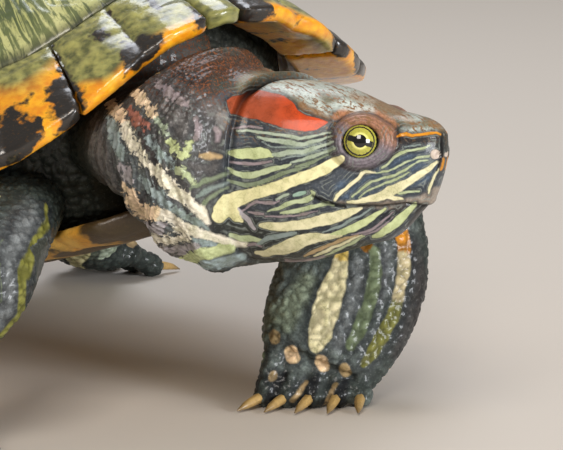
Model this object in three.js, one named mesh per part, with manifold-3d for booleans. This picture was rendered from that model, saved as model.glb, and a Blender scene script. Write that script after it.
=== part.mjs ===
// Red-eared slider turtle, life size, standing with its head turned to its left.
// World frame while it is built: the shell's front edge is over the origin, -Y is ahead of the animal,
// +X its left, +Z up and the floor at z = 0. Lengths are millimetres.
import * as THREE from 'three';
import { mergeVertices } from 'three/addons/utils/BufferGeometryUtils.js';
import Module from 'manifold-3d';

const wasm = await Module();
wasm.setup();

// Shell
const SHELL_LENGTH = 208;
const SHELL_WIDTH = 152;
const SHELL_TOP = 82;
const WIDEST_AT = 112;
const OUTLINE_POWER = 2.25;
const RIM_SIDE = 26;
const RIM_FRONT_RISE = 24;
const RIM_REAR_RISE = 3;
const RIM_EDGE = 3.2;
const SCUTE_DEPTH = 6;
const MARGINAL_INSIDE = 0.84;
const SHELL_PITCH = THREE.MathUtils.degToRad(9.5);
const SHELL_ROLL = THREE.MathUtils.degToRad(7);
const NUCHAL_HEIGHT = RIM_SIDE + RIM_FRONT_RISE;
const NUCHAL_AT = new THREE.Vector3(3, 0, 92);
const GAP = 0.3;
const ROOM = 0.5;
const PLASTRON_THICK = 5;
const PLASTRON_FRONT = 14;
const BRIDGE_FRONT = 60;
const BRIDGE_REAR = 130;
const PLASTRON_REAR = 186;

// Head: its own axes start midway between the eyes
const HEAD_CENTRE = new THREE.Vector3(15.99, -33.35, 66.95);
const HEAD_TURN = THREE.MathUtils.degToRad(32);
const HEAD_ROLL = THREE.MathUtils.degToRad(-1.5);
const HEAD_BACK = -26;
const EYE_RADIUS = 4.5;
const EYE_SIDE = 8.5;
const EYE_SOCKET_GAP = 0.3;
const MOUTH_HEIGHT = -13.2;
const MOUTH_CORNER = -8.5;

// Colours
const SKIN = 0x4d5a45;
const SHELL_GREEN = 0x6d7040;
const SHELL_RIM = 0xe39a1f;
const PLASTRON_YELLOW = 0xd8a63a;
const EYE_YELLOW = 0xc3be46;
const CLAW_BROWN = 0x6b5a3c;

const group = new THREE.Group();

// ---------------------------------------------------------------- solids

// A triangle mesh with shared corners and no flat triangles, wound so that its faces point out.
function tidyGeometry(geometry) {
  const bare = geometry.clone();
  bare.deleteAttribute('normal');
  bare.deleteAttribute('uv');
  const merged = mergeVertices(bare, 1e-4);
  const index = merged.index.array;
  const kept = [];
  for (let i = 0; i < index.length; i += 3) {
    const [a, b, c] = [index[i], index[i + 1], index[i + 2]];
    if (a !== b && b !== c && c !== a) kept.push(a, b, c);
  }
  merged.setIndex(kept);
  if (signedVolume(merged) < 0) {
    for (let i = 0; i < kept.length; i += 3) [kept[i], kept[i + 1]] = [kept[i + 1], kept[i]];
    merged.setIndex(kept);
  }
  return merged;
}

function signedVolume(geometry) {
  const corner = [new THREE.Vector3(), new THREE.Vector3(), new THREE.Vector3()];
  const index = geometry.index.array;
  let volume = 0;
  for (let i = 0; i < index.length; i += 3) {
    corner.forEach((point, k) => point.fromBufferAttribute(geometry.attributes.position, index[i + k]));
    volume += corner[0].dot(corner[1].clone().cross(corner[2])) / 6;
  }
  return volume;
}

function solidOf(geometry) {
  const tidy = tidyGeometry(geometry);
  return new wasm.Manifold(new wasm.Mesh({
    numProp: 3,
    vertProperties: new Float32Array(tidy.attributes.position.array),
    triVerts: new Uint32Array(tidy.index.array),
  }));
}

function geometryOf(solid) {
  const mesh = solid.getMesh();
  const geometry = new THREE.BufferGeometry();
  geometry.setAttribute('position', new THREE.BufferAttribute(new Float32Array(mesh.vertProperties), 3));
  geometry.setIndex([...mesh.triVerts]);
  return geometry;
}

function addPart(name, geometry, color, roughness = 0.55) {
  const material = new THREE.MeshStandardMaterial({ color, roughness, metalness: 0, flatShading: true });
  const mesh = new THREE.Mesh(geometry, material);
  mesh.name = name;
  group.add(mesh);
}

// Triangles that close a ring, counted in the ring's own order.
function capFaces(points) {
  const normal = new THREE.Vector3();
  points.forEach((point, k) => normal.add(point.clone().cross(points[(k + 1) % points.length])));
  const along = points[1].clone().sub(points[0]).normalize();
  const up = normal.normalize().clone().cross(along).normalize();
  const flat = points.map((point) => new THREE.Vector2(point.dot(along), point.dot(up)));
  const faces = THREE.ShapeUtils.triangulateShape(flat, []);
  return THREE.ShapeUtils.area(flat) > 0 ? faces : faces.map((face) => face.reverse());
}

// Closed skin over a row of rings that all have the same number of points.
function loft(rings) {
  const sides = rings[0].length;
  const points = rings.flat();
  const index = [];
  for (let r = 0; r < rings.length - 1; r += 1) {
    for (let k = 0; k < sides; k += 1) {
      const a = r * sides + k;
      const b = r * sides + (k + 1) % sides;
      index.push(a, b, b + sides, a, b + sides, a + sides);
    }
  }
  for (const row of [0, rings.length - 1]) {
    for (const face of capFaces(rings[row])) {
      const turned = row === 0 ? face.reverse() : face;
      index.push(...turned.map((k) => row * sides + k));
    }
  }
  const geometry = new THREE.BufferGeometry().setFromPoints(points);
  geometry.setIndex(index);
  return tidyGeometry(geometry);
}

// One rounded ring. half is its half width; rise and drop are its heights over and under the centre.
function ring(centre, right, up, half, rise, drop, sides = 14, power = 2.2) {
  const points = [];
  for (let k = 0; k < sides; k += 1) {
    const angle = 2 * Math.PI * k / sides;
    const across = Math.sign(Math.cos(angle)) * Math.abs(Math.cos(angle)) ** (2 / power);
    const high = Math.sign(Math.sin(angle)) * Math.abs(Math.sin(angle)) ** (2 / power);
    const point = centre.clone().addScaledVector(right, across * half);
    points.push(point.addScaledVector(up, high * (high > 0 ? rise : drop)));
  }
  return points;
}

// ---------------------------------------------------------------- shell frame

// The body stands with its front raised and leans a little to its right.
const toWorld = new THREE.Matrix4().makeRotationY(-SHELL_ROLL);
toWorld.multiply(new THREE.Matrix4().makeRotationX(-SHELL_PITCH));
const nuchalTurned = new THREE.Vector3(0, 0, NUCHAL_HEIGHT).applyMatrix4(toWorld);
toWorld.setPosition(NUCHAL_AT.clone().sub(nuchalTurned));

function outline(angle, scale) {
  const c = Math.cos(angle);
  const s = Math.sin(angle);
  const reach = c > 0 ? WIDEST_AT : SHELL_LENGTH - WIDEST_AT;
  const x = SHELL_WIDTH / 2 * Math.sign(s) * Math.abs(s) ** (2 / OUTLINE_POWER);
  const y = reach * Math.sign(c) * Math.abs(c) ** (2 / OUTLINE_POWER);
  return new THREE.Vector2(x * scale, WIDEST_AT - y * scale);
}

function rimHeight(angle) {
  const c = Math.cos(angle);
  if (c > 0) return RIM_SIDE + RIM_FRONT_RISE * c ** 8;
  return RIM_SIDE + RIM_REAR_RISE * c ** 4;
}

function domeHeight(angle, scale) {
  const rim = rimHeight(angle);
  const power = 0.75 + 0.35 * Math.cos(angle) ** 2;
  return rim + (SHELL_TOP - rim) * (1 - Math.min(scale, 1) ** 2.2) ** power;
}

function domeRing(scale, height, sides = 40) {
  const points = [];
  for (let k = 0; k < sides; k += 1) {
    const angle = 2 * Math.PI * k / sides;
    const spot = outline(angle, scale);
    points.push(new THREE.Vector3(spot.x, spot.y, height(angle, scale)));
  }
  return points;
}

// The whole upper shell: a dome with a turned lip, open below.
function carapaceSolid() {
  const top = [0.2, 0.42, 0.6, 0.72, MARGINAL_INSIDE - 0.04, MARGINAL_INSIDE + 0.05, 1];
  const inside = [MARGINAL_INSIDE - 0.02, 0.6, 0.35, 0.12];
  const rings = top.map((scale) => domeRing(scale, domeHeight));
  rings.push(domeRing(0.985, (angle) => rimHeight(angle) - RIM_EDGE));
  rings.push(domeRing(MARGINAL_INSIDE + 0.01, (angle) => rimHeight(angle) - RIM_EDGE + 1));
  inside.forEach((scale) => rings.push(domeRing(scale, (a, s) => domeHeight(a, s) - SCUTE_DEPTH)));
  return solidOf(loft(rings));
}

// Moves each side of a flat outline inward by the same distance.
function inset(outlinePoints, distance) {
  const count = outlinePoints.length;
  const turn = Math.sign(THREE.ShapeUtils.area(outlinePoints));
  const lines = outlinePoints.map((point, k) => {
    const next = outlinePoints[(k + 1) % count];
    const along = next.clone().sub(point).normalize();
    const inward = new THREE.Vector2(-along.y, along.x).multiplyScalar(turn * distance);
    return { start: point.clone().add(inward), along };
  });
  return lines.map((line, k) => {
    const before = lines[(k + count - 1) % count];
    const cross = before.along.cross(line.along);
    if (Math.abs(cross) < 1e-3) return line.start;
    const between = line.start.clone().sub(before.start);
    return before.start.clone().addScaledVector(before.along, between.cross(line.along) / cross);
  });
}

// ---------------------------------------------------------------- upper shell

const carapace = carapaceSolid();

function addScute(name, outlinePoints, color) {
  const shape = new THREE.Shape(inset(outlinePoints, GAP / 2));
  const column = new THREE.ExtrudeGeometry(shape, { depth: 140, bevelEnabled: false });
  const geometry = geometryOf(carapace.intersect(solidOf(column)));
  addPart(name, geometry.applyMatrix4(toWorld), color, 0.35);
}

const spot = (x, y) => new THREE.Vector2(x, y);
const insideRing = (degrees) => outline(THREE.MathUtils.degToRad(degrees), MARGINAL_INSIDE);

// Middle row: distance back and half width at the front, the widest place and the rear of each scute.
const VERTEBRALS = [
  { front: [19, 12.3], wide: [32, 20], rear: [49, 15] },
  { front: [49, 15], wide: [68, 24], rear: [88, 15] },
  { front: [88, 15], wide: [108, 25], rear: [128, 14] },
  { front: [128, 14], wide: [146, 22], rear: [164, 11] },
  { front: [164, 11], wide: [183, 24], rear: [191.5, 14] },
];
VERTEBRALS.forEach((scute, k) => {
  const right = [scute.front, scute.wide, scute.rear].map(([y, x]) => spot(x, y));
  const left = [scute.rear, scute.wide, scute.front].map(([y, x]) => spot(-x, y));
  if (k === 0) right.unshift(insideRing(0));
  // The last one fans out along the rim, from one side row to the other.
  if (k === 4) {
    right.splice(2, 1, insideRing(154), insideRing(167), insideRing(180));
    left.splice(0, 1, insideRing(-167), insideRing(-154));
  }
  addScute(`vertebral_${k + 1}`, [...right, ...left], SHELL_GREEN);
});

// Side rows: each scute lies between the middle row and the rim, from one ring angle to the next.
const PLEURALS = [
  { middle: [[32, 20], [49, 15], [68, 24]], from: 9, to: 70 },
  { middle: [[68, 24], [88, 15], [108, 25]], from: 70, to: 88 },
  { middle: [[108, 25], [128, 14], [146, 22]], from: 88, to: 116 },
  { middle: [[146, 22], [164, 11], [183, 24]], from: 116, to: 154 },
];
for (const side of [1, -1]) {
  const word = side > 0 ? 'left' : 'right';
  PLEURALS.forEach((scute, k) => {
    const points = scute.middle.map(([y, x]) => spot(x, y));
    const steps = 6;
    for (let s = 0; s <= steps; s += 1) {
      points.push(insideRing(scute.to + (scute.from - scute.to) * s / steps));
    }
    addScute(`pleural_${word}_${k + 1}`, points.map((p) => spot(p.x * side, p.y)), SHELL_GREEN);
  });
}

// Rim: twelve marginals a side, two to a piece, and the small cervical at the middle of the front.
const CERVICAL_ANGLE = 2.4;
const MARGINAL_ANGLES = [CERVICAL_ANGLE, 25, 50, 84, 112, 141, 180];
function rimPiece(from, to, side) {
  const steps = 5;
  const points = [];
  for (let s = 0; s <= steps; s += 1) {
    points.push(outline(THREE.MathUtils.degToRad(from + (to - from) * s / steps), 1.06));
  }
  for (let s = 0; s <= steps; s += 1) {
    points.push(outline(THREE.MathUtils.degToRad(to + (from - to) * s / steps), MARGINAL_INSIDE));
  }
  return points.map((p) => spot(p.x * side, p.y));
}
addScute('cervical', rimPiece(-CERVICAL_ANGLE, CERVICAL_ANGLE, 1), SHELL_GREEN);
for (const side of [1, -1]) {
  const word = side > 0 ? 'left' : 'right';
  for (let k = 0; k < 6; k += 1) {
    const points = rimPiece(MARGINAL_ANGLES[k], MARGINAL_ANGLES[k + 1], side);
    addScute(`marginals_${word}_${2 * k + 1}_${2 * k + 2}`, points, SHELL_RIM);
  }
}

// ---------------------------------------------------------------- lower shell

// A closed plate from a curve across the shell and its copy raised by the plate's thickness.
function plateRing(y, curve, grow = 0) {
  const under = curve.map(([x, z]) => new THREE.Vector3(x, y, z - grow));
  const over = curve.map(([x, z, tuck = 0, lower = 0]) => {
    return new THREE.Vector3(x - Math.sign(x) * tuck, y, z + PLASTRON_THICK - lower + grow);
  });
  return [...under, ...over.reverse()];
}

function lobeRing([y, half, low], grow = 0) {
  const curve = [
    [-1, 5, 1.5, 3.3], [-0.88, 1.6], [-0.55, 0], [0, 0], [0.55, 0], [0.88, 1.6], [1, 5, 1.5, 3.3],
  ];
  return plateRing(y, curve.map(([x, z, ...tuck]) => [x * (half + grow), z + low, ...tuck]), grow);
}

// Distance back, half width and height of the underside.
const FRONT_LOBE = [
  [PLASTRON_FRONT, 22, 6], [PLASTRON_FRONT + 6, 32, 4.5], [36, 38, 2.5], [50, 42, 1], [BRIDGE_FRONT, 45, 0.5],
];
const REAR_LOBE = [
  [BRIDGE_REAR, 46, 0.5], [146, 46, 0.5], [162, 41, 1], [175, 33, 2], [PLASTRON_REAR, 18, 3.5],
];

// Distance back and how far the bridge has risen to the rim there.
const BRIDGE = [
  [BRIDGE_FRONT + GAP, 0], [66, 0.72], [72, 1], [96, 1], [118, 1], [124, 0.72], [BRIDGE_REAR - GAP, 0],
];

// The space that a lobe needs, a little larger than the lobe itself.
function roomFor(lobe) {
  const last = lobe.length - 1;
  const rings = lobe.map(([y, half, low], k) => {
    const longer = (k === last ? ROOM : 0) - (k === 0 ? ROOM : 0);
    return lobeRing([y + longer, half, low], ROOM);
  });
  return solidOf(loft(rings).applyMatrix4(toWorld));
}

const frontRoom = roomFor(FRONT_LOBE);
const rearRoom = roomFor(REAR_LOBE);

// share is how far the bridge reaches from the edge of the lobes out to the rim.
function bridgeRing([y, share]) {
  const reach = y < WIDEST_AT ? WIDEST_AT : SHELL_LENGTH - WIDEST_AT;
  const angle = Math.acos((Math.abs(WIDEST_AT - y) / reach) ** (OUTLINE_POWER / 2));
  const edge = THREE.MathUtils.lerp(48, outline(angle, 1).x * 0.955, share);
  const under = RIM_SIDE - RIM_EDGE - GAP - PLASTRON_THICK + 3;
  const half = [[0, 0], [30, 0], [40, 0.6], [edge - 14 + 6 * (1 - share), 1.5 + 5.5 * share]];
  half.push([edge, THREE.MathUtils.lerp(5.5, under, share), 3, 3]);
  const mirrored = half.slice(1).reverse().map(([x, ...rest]) => [-x, ...rest]);
  return plateRing(y, [...mirrored, ...half]);
}

const plastronPieces = {
  plastron_front: FRONT_LOBE.map((row) => lobeRing(row)),
  plastron_bridge: BRIDGE.map(bridgeRing),
  plastron_rear: REAR_LOBE.map((row) => lobeRing(row)),
};
for (const [name, rings] of Object.entries(plastronPieces)) {
  addPart(name, loft(rings).applyMatrix4(toWorld), PLASTRON_YELLOW, 0.4);
}

// ---------------------------------------------------------------- flesh inside the shell

const TRUNK_SCALE = 0.79;
function trunkSolid(extra) {
  const scaleUp = extra / (SHELL_WIDTH / 2);
  const rings = [];
  for (const scale of [0.12, 0.4, 0.62]) {
    rings.push(domeRing(scale, (a, s) => domeHeight(a, s) - SCUTE_DEPTH - 1.4 + extra, 28));
  }
  const roof = (angle) => domeHeight(angle, TRUNK_SCALE) - SCUTE_DEPTH - 1.8 + extra;
  rings.push(domeRing(TRUNK_SCALE + scaleUp, roof, 28));
  rings.push(domeRing(TRUNK_SCALE + scaleUp, () => 32 - extra, 28));
  rings.push(domeRing(0.5 + scaleUp, () => 9.5 - extra, 28));
  rings.push(domeRing(0.35 + scaleUp, () => PLASTRON_THICK + 1 - extra, 28));
  return solidOf(loft(rings).applyMatrix4(toWorld));
}
addPart('trunk', geometryOf(trunkSolid(0)), SKIN, 0.7);
const trunkRoom = trunkSolid(GAP);

// ---------------------------------------------------------------- head

const headBasis = new THREE.Matrix4();
{
  const ahead = new THREE.Vector3(Math.sin(HEAD_TURN), -Math.cos(HEAD_TURN), 0);
  const levelLeft = new THREE.Vector3(Math.cos(HEAD_TURN), Math.sin(HEAD_TURN), 0);
  const up = new THREE.Vector3(0, 0, 1).applyAxisAngle(ahead, HEAD_ROLL);
  const left = levelLeft.clone().applyAxisAngle(ahead, HEAD_ROLL);
  headBasis.makeBasis(ahead, left, up).setPosition(HEAD_CENTRE);
}
const headPoint = (ahead, left, up) => new THREE.Vector3(ahead, left, up).applyMatrix4(headBasis);

// Distance ahead of the eyes, half width, height of the crown and depth of the throat.
const HEAD_SECTIONS = [
  [HEAD_BACK, 16, 11.4, 27.5], [-20, 16.2, 11.5, 27.6], [-13, 15.4, 11.2, 27], [-6, 13.4, 10.2, 24.8],
  [0, 11.2, 8, 22.7], [5, 9.8, 6, 21.2], [9.5, 8.1, 5.1, 17.5], [13, 5.9, 4.2, 13.8], [15.4, 3.6, 2.8, 8],
  [16.4, 1.6, 0.8, 3.8],
];
function headRing([ahead, half, crown, throat]) {
  const middle = (crown - throat) / 2;
  const height = (crown + throat) / 2;
  const points = ring(new THREE.Vector3(ahead, 0, middle), new THREE.Vector3(0, 1, 0),
    new THREE.Vector3(0, 0, 1), half, height, height, 18, 2.35);
  return points;
}
const headWhole = solidOf(loft(HEAD_SECTIONS.map(headRing)));

// The mouth is a thin slit that rises behind the corner, so that the lower jaw is a piece of its own.
function jawCutter(grow) {
  const shape = new THREE.Shape();
  shape.moveTo(MOUTH_CORNER - grow, -40);
  shape.lineTo(30, -40);
  shape.lineTo(30, MOUTH_HEIGHT + grow);
  shape.lineTo(MOUTH_CORNER + 1, MOUTH_HEIGHT + grow + 0.8);
  shape.lineTo(MOUTH_CORNER - grow, MOUTH_HEIGHT + grow - 1);
  const column = new THREE.ExtrudeGeometry(shape, { depth: 60, bevelEnabled: false });
  column.rotateX(Math.PI / 2).translate(0, 30, 0);
  return solidOf(column);
}

function eyeBall(side, grow) {
  const ball = new THREE.SphereGeometry(EYE_RADIUS + grow, 12, 8);
  return ball.translate(0, EYE_SIDE * side, 0);
}

let headSolid = headWhole.subtract(jawCutter(GAP));
for (const side of [1, -1]) {
  headSolid = headSolid.subtract(solidOf(eyeBall(side, EYE_SOCKET_GAP)));
  const eye = tidyGeometry(eyeBall(side, 0)).applyMatrix4(headBasis);
  addPart(side > 0 ? 'eye_left' : 'eye_right', eye, EYE_YELLOW, 0.1);
}
addPart('head', geometryOf(headSolid).applyMatrix4(headBasis), SKIN);
addPart('lower_jaw', geometryOf(headWhole.intersect(jawCutter(0))).applyMatrix4(headBasis), SKIN);

// ---------------------------------------------------------------- neck and tail

// Centre, compass heading in degrees to the left, half width, rise and drop.
const NECK_RINGS = [
  [[-1, 30, 62], 0, 19, 10, 10],
  [[-2, 12, 62], 4, 25, 14, 11],
  [[-3, 5, 61], 9, 27, 19.5, 15],
  [[-3, -1, 61], 17, 27, 22.5, 22],
  [[-2, -6.5, 61.5], 26, 23.5, 22, 25],
];
function neckRing([centre, degrees, half, rise, drop]) {
  const angle = THREE.MathUtils.degToRad(degrees);
  const right = new THREE.Vector3(Math.cos(angle), Math.sin(angle), 0);
  return ring(new THREE.Vector3(...centre), right, new THREE.Vector3(0, 0, 1), half, rise, drop, 18);
}
const neckRings = NECK_RINGS.map(neckRing);
const [, backHalf, backCrown, backThroat] = HEAD_SECTIONS[0];
for (const [back, wider] of [[2.6, 3], [GAP, 0.6]]) {
  const collar = headRing([HEAD_BACK - back, backHalf + wider, backCrown + wider, backThroat + wider * 0.5]);
  neckRings.push(collar.map((point) => point.applyMatrix4(headBasis)));
}
let neckSolid = solidOf(loft(neckRings)).subtract(trunkRoom);
neckSolid = neckSolid.subtract(frontRoom);
addPart('neck', geometryOf(neckSolid), SKIN, 0.7);

// Centre and radius along the tail, which curls a little to the animal's right.
const TAIL_RINGS = [
  [[2, 164, 25], 7], [[1, 178, 22.5], 6.6], [[-1, 190, 18.5], 6], [[-4, 202, 14], 5], [[-8, 214, 9.5], 3.6],
  [[-14, 226, 5.5], 1.8],
];
function tubeRings(stations, widthHint, sides) {
  const centres = stations.map((station) => new THREE.Vector3(...station[0]));
  return stations.map(([, half, thick = half, hint], k) => {
    const wide = hint ? new THREE.Vector3(...hint) : widthHint;
    const next = centres[Math.min(k + 1, centres.length - 1)];
    const ahead = next.clone().sub(centres[Math.max(k - 1, 0)]).normalize();
    const up = ahead.clone().cross(wide).normalize();
    const across = up.clone().cross(ahead).normalize();
    return ring(centres[k], across, up, half, thick, thick, sides);
  });
}
const tail = solidOf(loft(tubeRings(TAIL_RINGS, new THREE.Vector3(1, 0, 0), 10)));
addPart('tail', geometryOf(tail.subtract(trunkRoom).subtract(rearRoom)), SKIN, 0.7);

// ---------------------------------------------------------------- legs

const floor = solidOf(new THREE.BoxGeometry(600, 600, 40).translate(0, 60, -20));

// path: centre, half width, half thickness and sometimes the way it is widest, from the shoulder or hip
// to the ball of the foot.
// across: the way the foot is widest. ahead: the way its toes point. toes: sideways places of the toes.
const LEGS = {
  front_left: {
    path: [
      [[30, 34, 55], 8, 9, [0.4, 0.1, 0.9]], [[39, 22, 54], 9, 10, [0.4, 0.1, 0.9]],
      [[46.5, 13.5, 48], 11.5, 10, [0.75, -0.2, 0.6]], [[48.4, 10.6, 40], 14, 9.5, [0.8, -0.5, 0.1]],
      [[46, 9, 31], 15, 8.6], [[41.8, 8.2, 22], 14.6, 7.5], [[36.8, 7.4, 14], 14, 6.5],
      [[33, 6.5, 9], 13.5, 5],
    ],
    across: [0.75, -0.58, -0.3],
    ahead: [-0.42, -0.3, -0.86],
    toes: [-11.5, -5.8, 0, 5.8, 11.2],
    toeLength: 7.5,
    toeRadius: 2.9,
    clawTurn: 0.5,
  },
  front_right: {
    path: [
      [[-28, 34, 49], 10, 7], [[-40, 23, 46], 11, 8.5], [[-54, 14, 38], 13, 10], [[-61, 17, 28], 12.5, 9],
      [[-65, 18, 19], 12, 7.5], [[-67, 15, 11], 13, 6], [[-68, 9, 6.5], 13.5, 5],
    ],
    across: [0.93, -0.36, 0],
    ahead: [-0.33, -0.88, -0.32],
    toes: [-11.5, -5.8, 0, 5.8, 11.2],
    toeLength: 8.5,
    toeRadius: 2.9,
    clawTurn: 0.15,
  },
  hind_left: {
    path: [
      [[32, 152, 33], 13, 8], [[47, 148, 33], 14, 9.5], [[62, 144, 28], 14, 11], [[71, 152, 20], 11, 10],
      [[76, 160, 11], 11, 8], [[83, 162, 7], 14, 5.5],
    ],
    across: [-0.3, 0.95, 0],
    ahead: [0.93, 0.3, -0.24],
    toes: [-11, -3.8, 3.8, 11],
    toeLength: 10,
    toeRadius: 3.2,
    clawTurn: 0.1,
  },
  hind_right: {
    path: [
      [[-30, 154, 21], 12, 6.5], [[-46, 153, 20], 13, 7.5], [[-61, 156, 18.5], 14, 9.5],
      [[-68, 166, 14.5], 11, 9],
      [[-71, 174, 10.5], 11, 7.5], [[-76, 180, 7], 14, 5.5],
    ],
    across: [0.55, 0.83, 0],
    ahead: [-0.8, 0.52, -0.24],
    toes: [-11, -3.8, 3.8, 11],
    toeLength: 10,
    toeRadius: 3.2,
    clawTurn: 0.1,
  },
};
const CLAW_LENGTH = 6.5;
const CLAW_RADIUS = 1.35;
const CLAW_CLEAR = 0.35;

function capsuleBetween(from, to, radius) {
  const along = to.clone().sub(from);
  const geometry = new THREE.CapsuleGeometry(radius, along.length(), 2, 6, 1);
  const upright = new THREE.Vector3(0, 1, 0);
  const turn = new THREE.Quaternion().setFromUnitVectors(upright, along.clone().normalize());
  const middle = from.clone().add(to).multiplyScalar(0.5);
  return geometry.applyQuaternion(turn).translate(middle.x, middle.y, middle.z);
}

// A claw is a cone that bends down a little and ends above the floor.
function clawGeometry(base, direction) {
  const rings = [];
  const side = direction.clone().cross(new THREE.Vector3(0, 0, 1)).normalize();
  const up = side.clone().cross(direction).normalize();
  for (const [along, radius] of [[0, 1], [0.55, 0.72], [1, 0.14]]) {
    const centre = base.clone().addScaledVector(direction, along * CLAW_LENGTH);
    const reach = radius * CLAW_RADIUS;
    centre.z = Math.max(centre.z - 1.2 * along ** 2, reach + CLAW_CLEAR);
    rings.push(ring(centre, side, up, reach, reach, reach, 6, 2));
  }
  return loft(rings);
}

for (const [name, leg] of Object.entries(LEGS)) {
  const across = new THREE.Vector3(...leg.across).normalize();
  const ahead = new THREE.Vector3(...leg.ahead).normalize();
  const limb = tubeRings(leg.path, across, 12);
  let solid = solidOf(loft(limb));
  const ball = new THREE.Vector3(...leg.path.at(-1)[0]);
  leg.toes.forEach((place, k) => {
    const fan = place / Math.max(...leg.toes);
    const length = leg.toeLength * (1 - 0.18 * fan ** 2);
    const root = ball.clone().addScaledVector(across, place * 0.86);
    const direction = ahead.clone().addScaledVector(across, 0.22 * fan).normalize();
    const tip = root.clone().addScaledVector(direction, length);
    tip.z = leg.toeRadius - 0.35;
    solid = solid.add(solidOf(capsuleBetween(root, tip, leg.toeRadius)));
    const clawWay = direction.clone();
    clawWay.z = 0;
    clawWay.addScaledVector(across, -leg.clawTurn * 0.2).normalize();
    clawWay.z = -0.12;
    clawWay.normalize();
    const base = tip.clone().addScaledVector(clawWay, leg.toeRadius + GAP);
    addPart(`claw_${name}_${k + 1}`, clawGeometry(base, clawWay), CLAW_BROWN, 0.4);
  });
  const lobeRoom = name.startsWith('front') ? frontRoom : rearRoom;
  solid = solid.subtract(floor).subtract(trunkRoom).subtract(lobeRoom);
  addPart(`leg_${name}`, geometryOf(solid), SKIN, 0.7);
}

// The origin is under the middle of the whole animal, on the floor.
group.updateMatrixWorld(true);
const box = new THREE.Box3().setFromObject(group, true);
const centre = box.getCenter(new THREE.Vector3());
group.position.set(-centre.x, -centre.y, -box.min.z);

export default group;
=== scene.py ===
import math

import bmesh
import bpy
import numpy as np
from mathutils import Matrix, Vector, noise


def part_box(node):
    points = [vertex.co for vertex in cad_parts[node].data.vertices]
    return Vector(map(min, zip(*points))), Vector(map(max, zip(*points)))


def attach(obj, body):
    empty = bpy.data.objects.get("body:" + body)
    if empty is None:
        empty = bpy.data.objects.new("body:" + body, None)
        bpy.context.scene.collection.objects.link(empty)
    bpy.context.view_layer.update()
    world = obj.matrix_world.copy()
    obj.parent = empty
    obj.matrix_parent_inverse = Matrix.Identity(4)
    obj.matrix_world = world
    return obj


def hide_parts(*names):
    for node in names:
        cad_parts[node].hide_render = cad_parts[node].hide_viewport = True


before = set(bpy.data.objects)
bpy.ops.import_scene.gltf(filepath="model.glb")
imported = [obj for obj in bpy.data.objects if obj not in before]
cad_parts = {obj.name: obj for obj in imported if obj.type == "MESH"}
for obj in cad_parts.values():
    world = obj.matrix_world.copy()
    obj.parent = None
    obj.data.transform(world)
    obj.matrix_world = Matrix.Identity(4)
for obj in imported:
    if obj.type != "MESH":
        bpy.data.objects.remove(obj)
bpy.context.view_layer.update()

# ---------------------------------------------------------------- middle and side scutes
# Thirteen thin horny plates over the bony dome of the upper shell: five down the middle and four a side.
# They are keratin, laid down in yearly rings from a small first plate, and grow tight against each other.

MM = 0.001
# The point midway between the eyes, the way the head is turned, and how far each eye is from its middle.
HEAD_CENTRE = np.array((15.99, -33.35, 66.95))
HEAD_TURN, HEAD_ROLL = math.radians(32), math.radians(-1.5)
EYE_SIDE = 8.5


def turn_about(axis, angle):
    """A turn about x, y or z that is multiplied onto a column of coordinates."""
    return np.array(Matrix.Rotation(angle, 3, axis))


# The head's own axes: ahead along the snout, left and up, level with the eyes.
AHEAD = np.array((math.sin(HEAD_TURN), -math.cos(HEAD_TURN), 0.0))
HEAD_TILT = np.array(Matrix.Rotation(HEAD_ROLL, 3, Vector(AHEAD)))
LEFTWARD = HEAD_TILT @ np.array((math.cos(HEAD_TURN), math.sin(HEAD_TURN), 0.0))
UPWARD = HEAD_TILT @ np.array((0.0, 0.0, 1.0))

# The body is worked out with the shell's front edge over the origin; ORIGIN is where that point stands.
right_eye_box = np.array(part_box("eye_right")) / MM
ORIGIN = right_eye_box.mean(axis=0) - (HEAD_CENTRE - EYE_SIDE * LEFTWARD)

# The upper shell in millimetres, how far back it is widest, and how square its plan is.
SHELL_LENGTH, SHELL_WIDTH, SHELL_TOP, WIDEST_AT = 208.0, 152.0, 82.0, 112.0
OUTLINE_POWER = 2.25
# The height of the rim at the sides, and how much it rises to the front and to the rear.
RIM_SIDE, RIM_FRONT_RISE, RIM_REAR_RISE = 26.0, 24.0, 3.0
# The scutes' depth, where the marginals begin on the way out, and how far inside its outline a plate ends.
SCUTE_DEPTH, MARGINAL_INSIDE, SEAM = 6.0, 0.84, 0.2
# The shell is rolled 7 degrees and raised 9.5 at the front, and NUCHAL_AT is the middle of its front edge.
SHELL_TURN = turn_about("Y", math.radians(-7)) @ turn_about("X", math.radians(-9.5))
NUCHAL_AT = np.array((3.0, 0.0, 92.0))
SHELL_PLACE = NUCHAL_AT - SHELL_TURN @ np.array((0.0, 0.0, RIM_SIDE + RIM_FRONT_RISE))


def linear(hex_colour):
    """An sRGB hex colour as the linear values that a shader socket takes."""
    values = [int(hex_colour[k:k + 2], 16) / 255 for k in (1, 3, 5)]
    return tuple(v / 12.92 if v <= 0.04045 else ((v + 0.055) / 1.055) ** 2.4 for v in values) + (1.0,)


def add_node(tree, kind, sockets=None, out=0, **settings):
    """Adds one node with its settings and links, and gives back one of its outputs if it has any."""
    made = tree.nodes.new("ShaderNode" + kind)
    for name, value in settings.items():
        setattr(made, name, value)
    for key, value in (sockets or {}).items():
        if isinstance(value, bpy.types.NodeSocket):
            tree.links.new(value, made.inputs[key])
        else:
            made.inputs[key].default_value = value
    return made.outputs[out] if made.outputs else None


def start_material(name, roughness, coat=0.0, coat_roughness=0.1, ior=1.5):
    """A material with its shader, whose steady values are set here on the shader itself."""
    material = bpy.data.materials.new(name)
    material.use_nodes = True
    tree = material.node_tree
    tree.nodes.clear()
    shader = add_node(tree, "BsdfPrincipled", {
        "Roughness": roughness, "IOR": ior, "Coat Weight": coat, "Coat Roughness": coat_roughness})
    add_node(tree, "OutputMaterial", {"Surface": shader})
    return material, tree, shader.node


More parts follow.
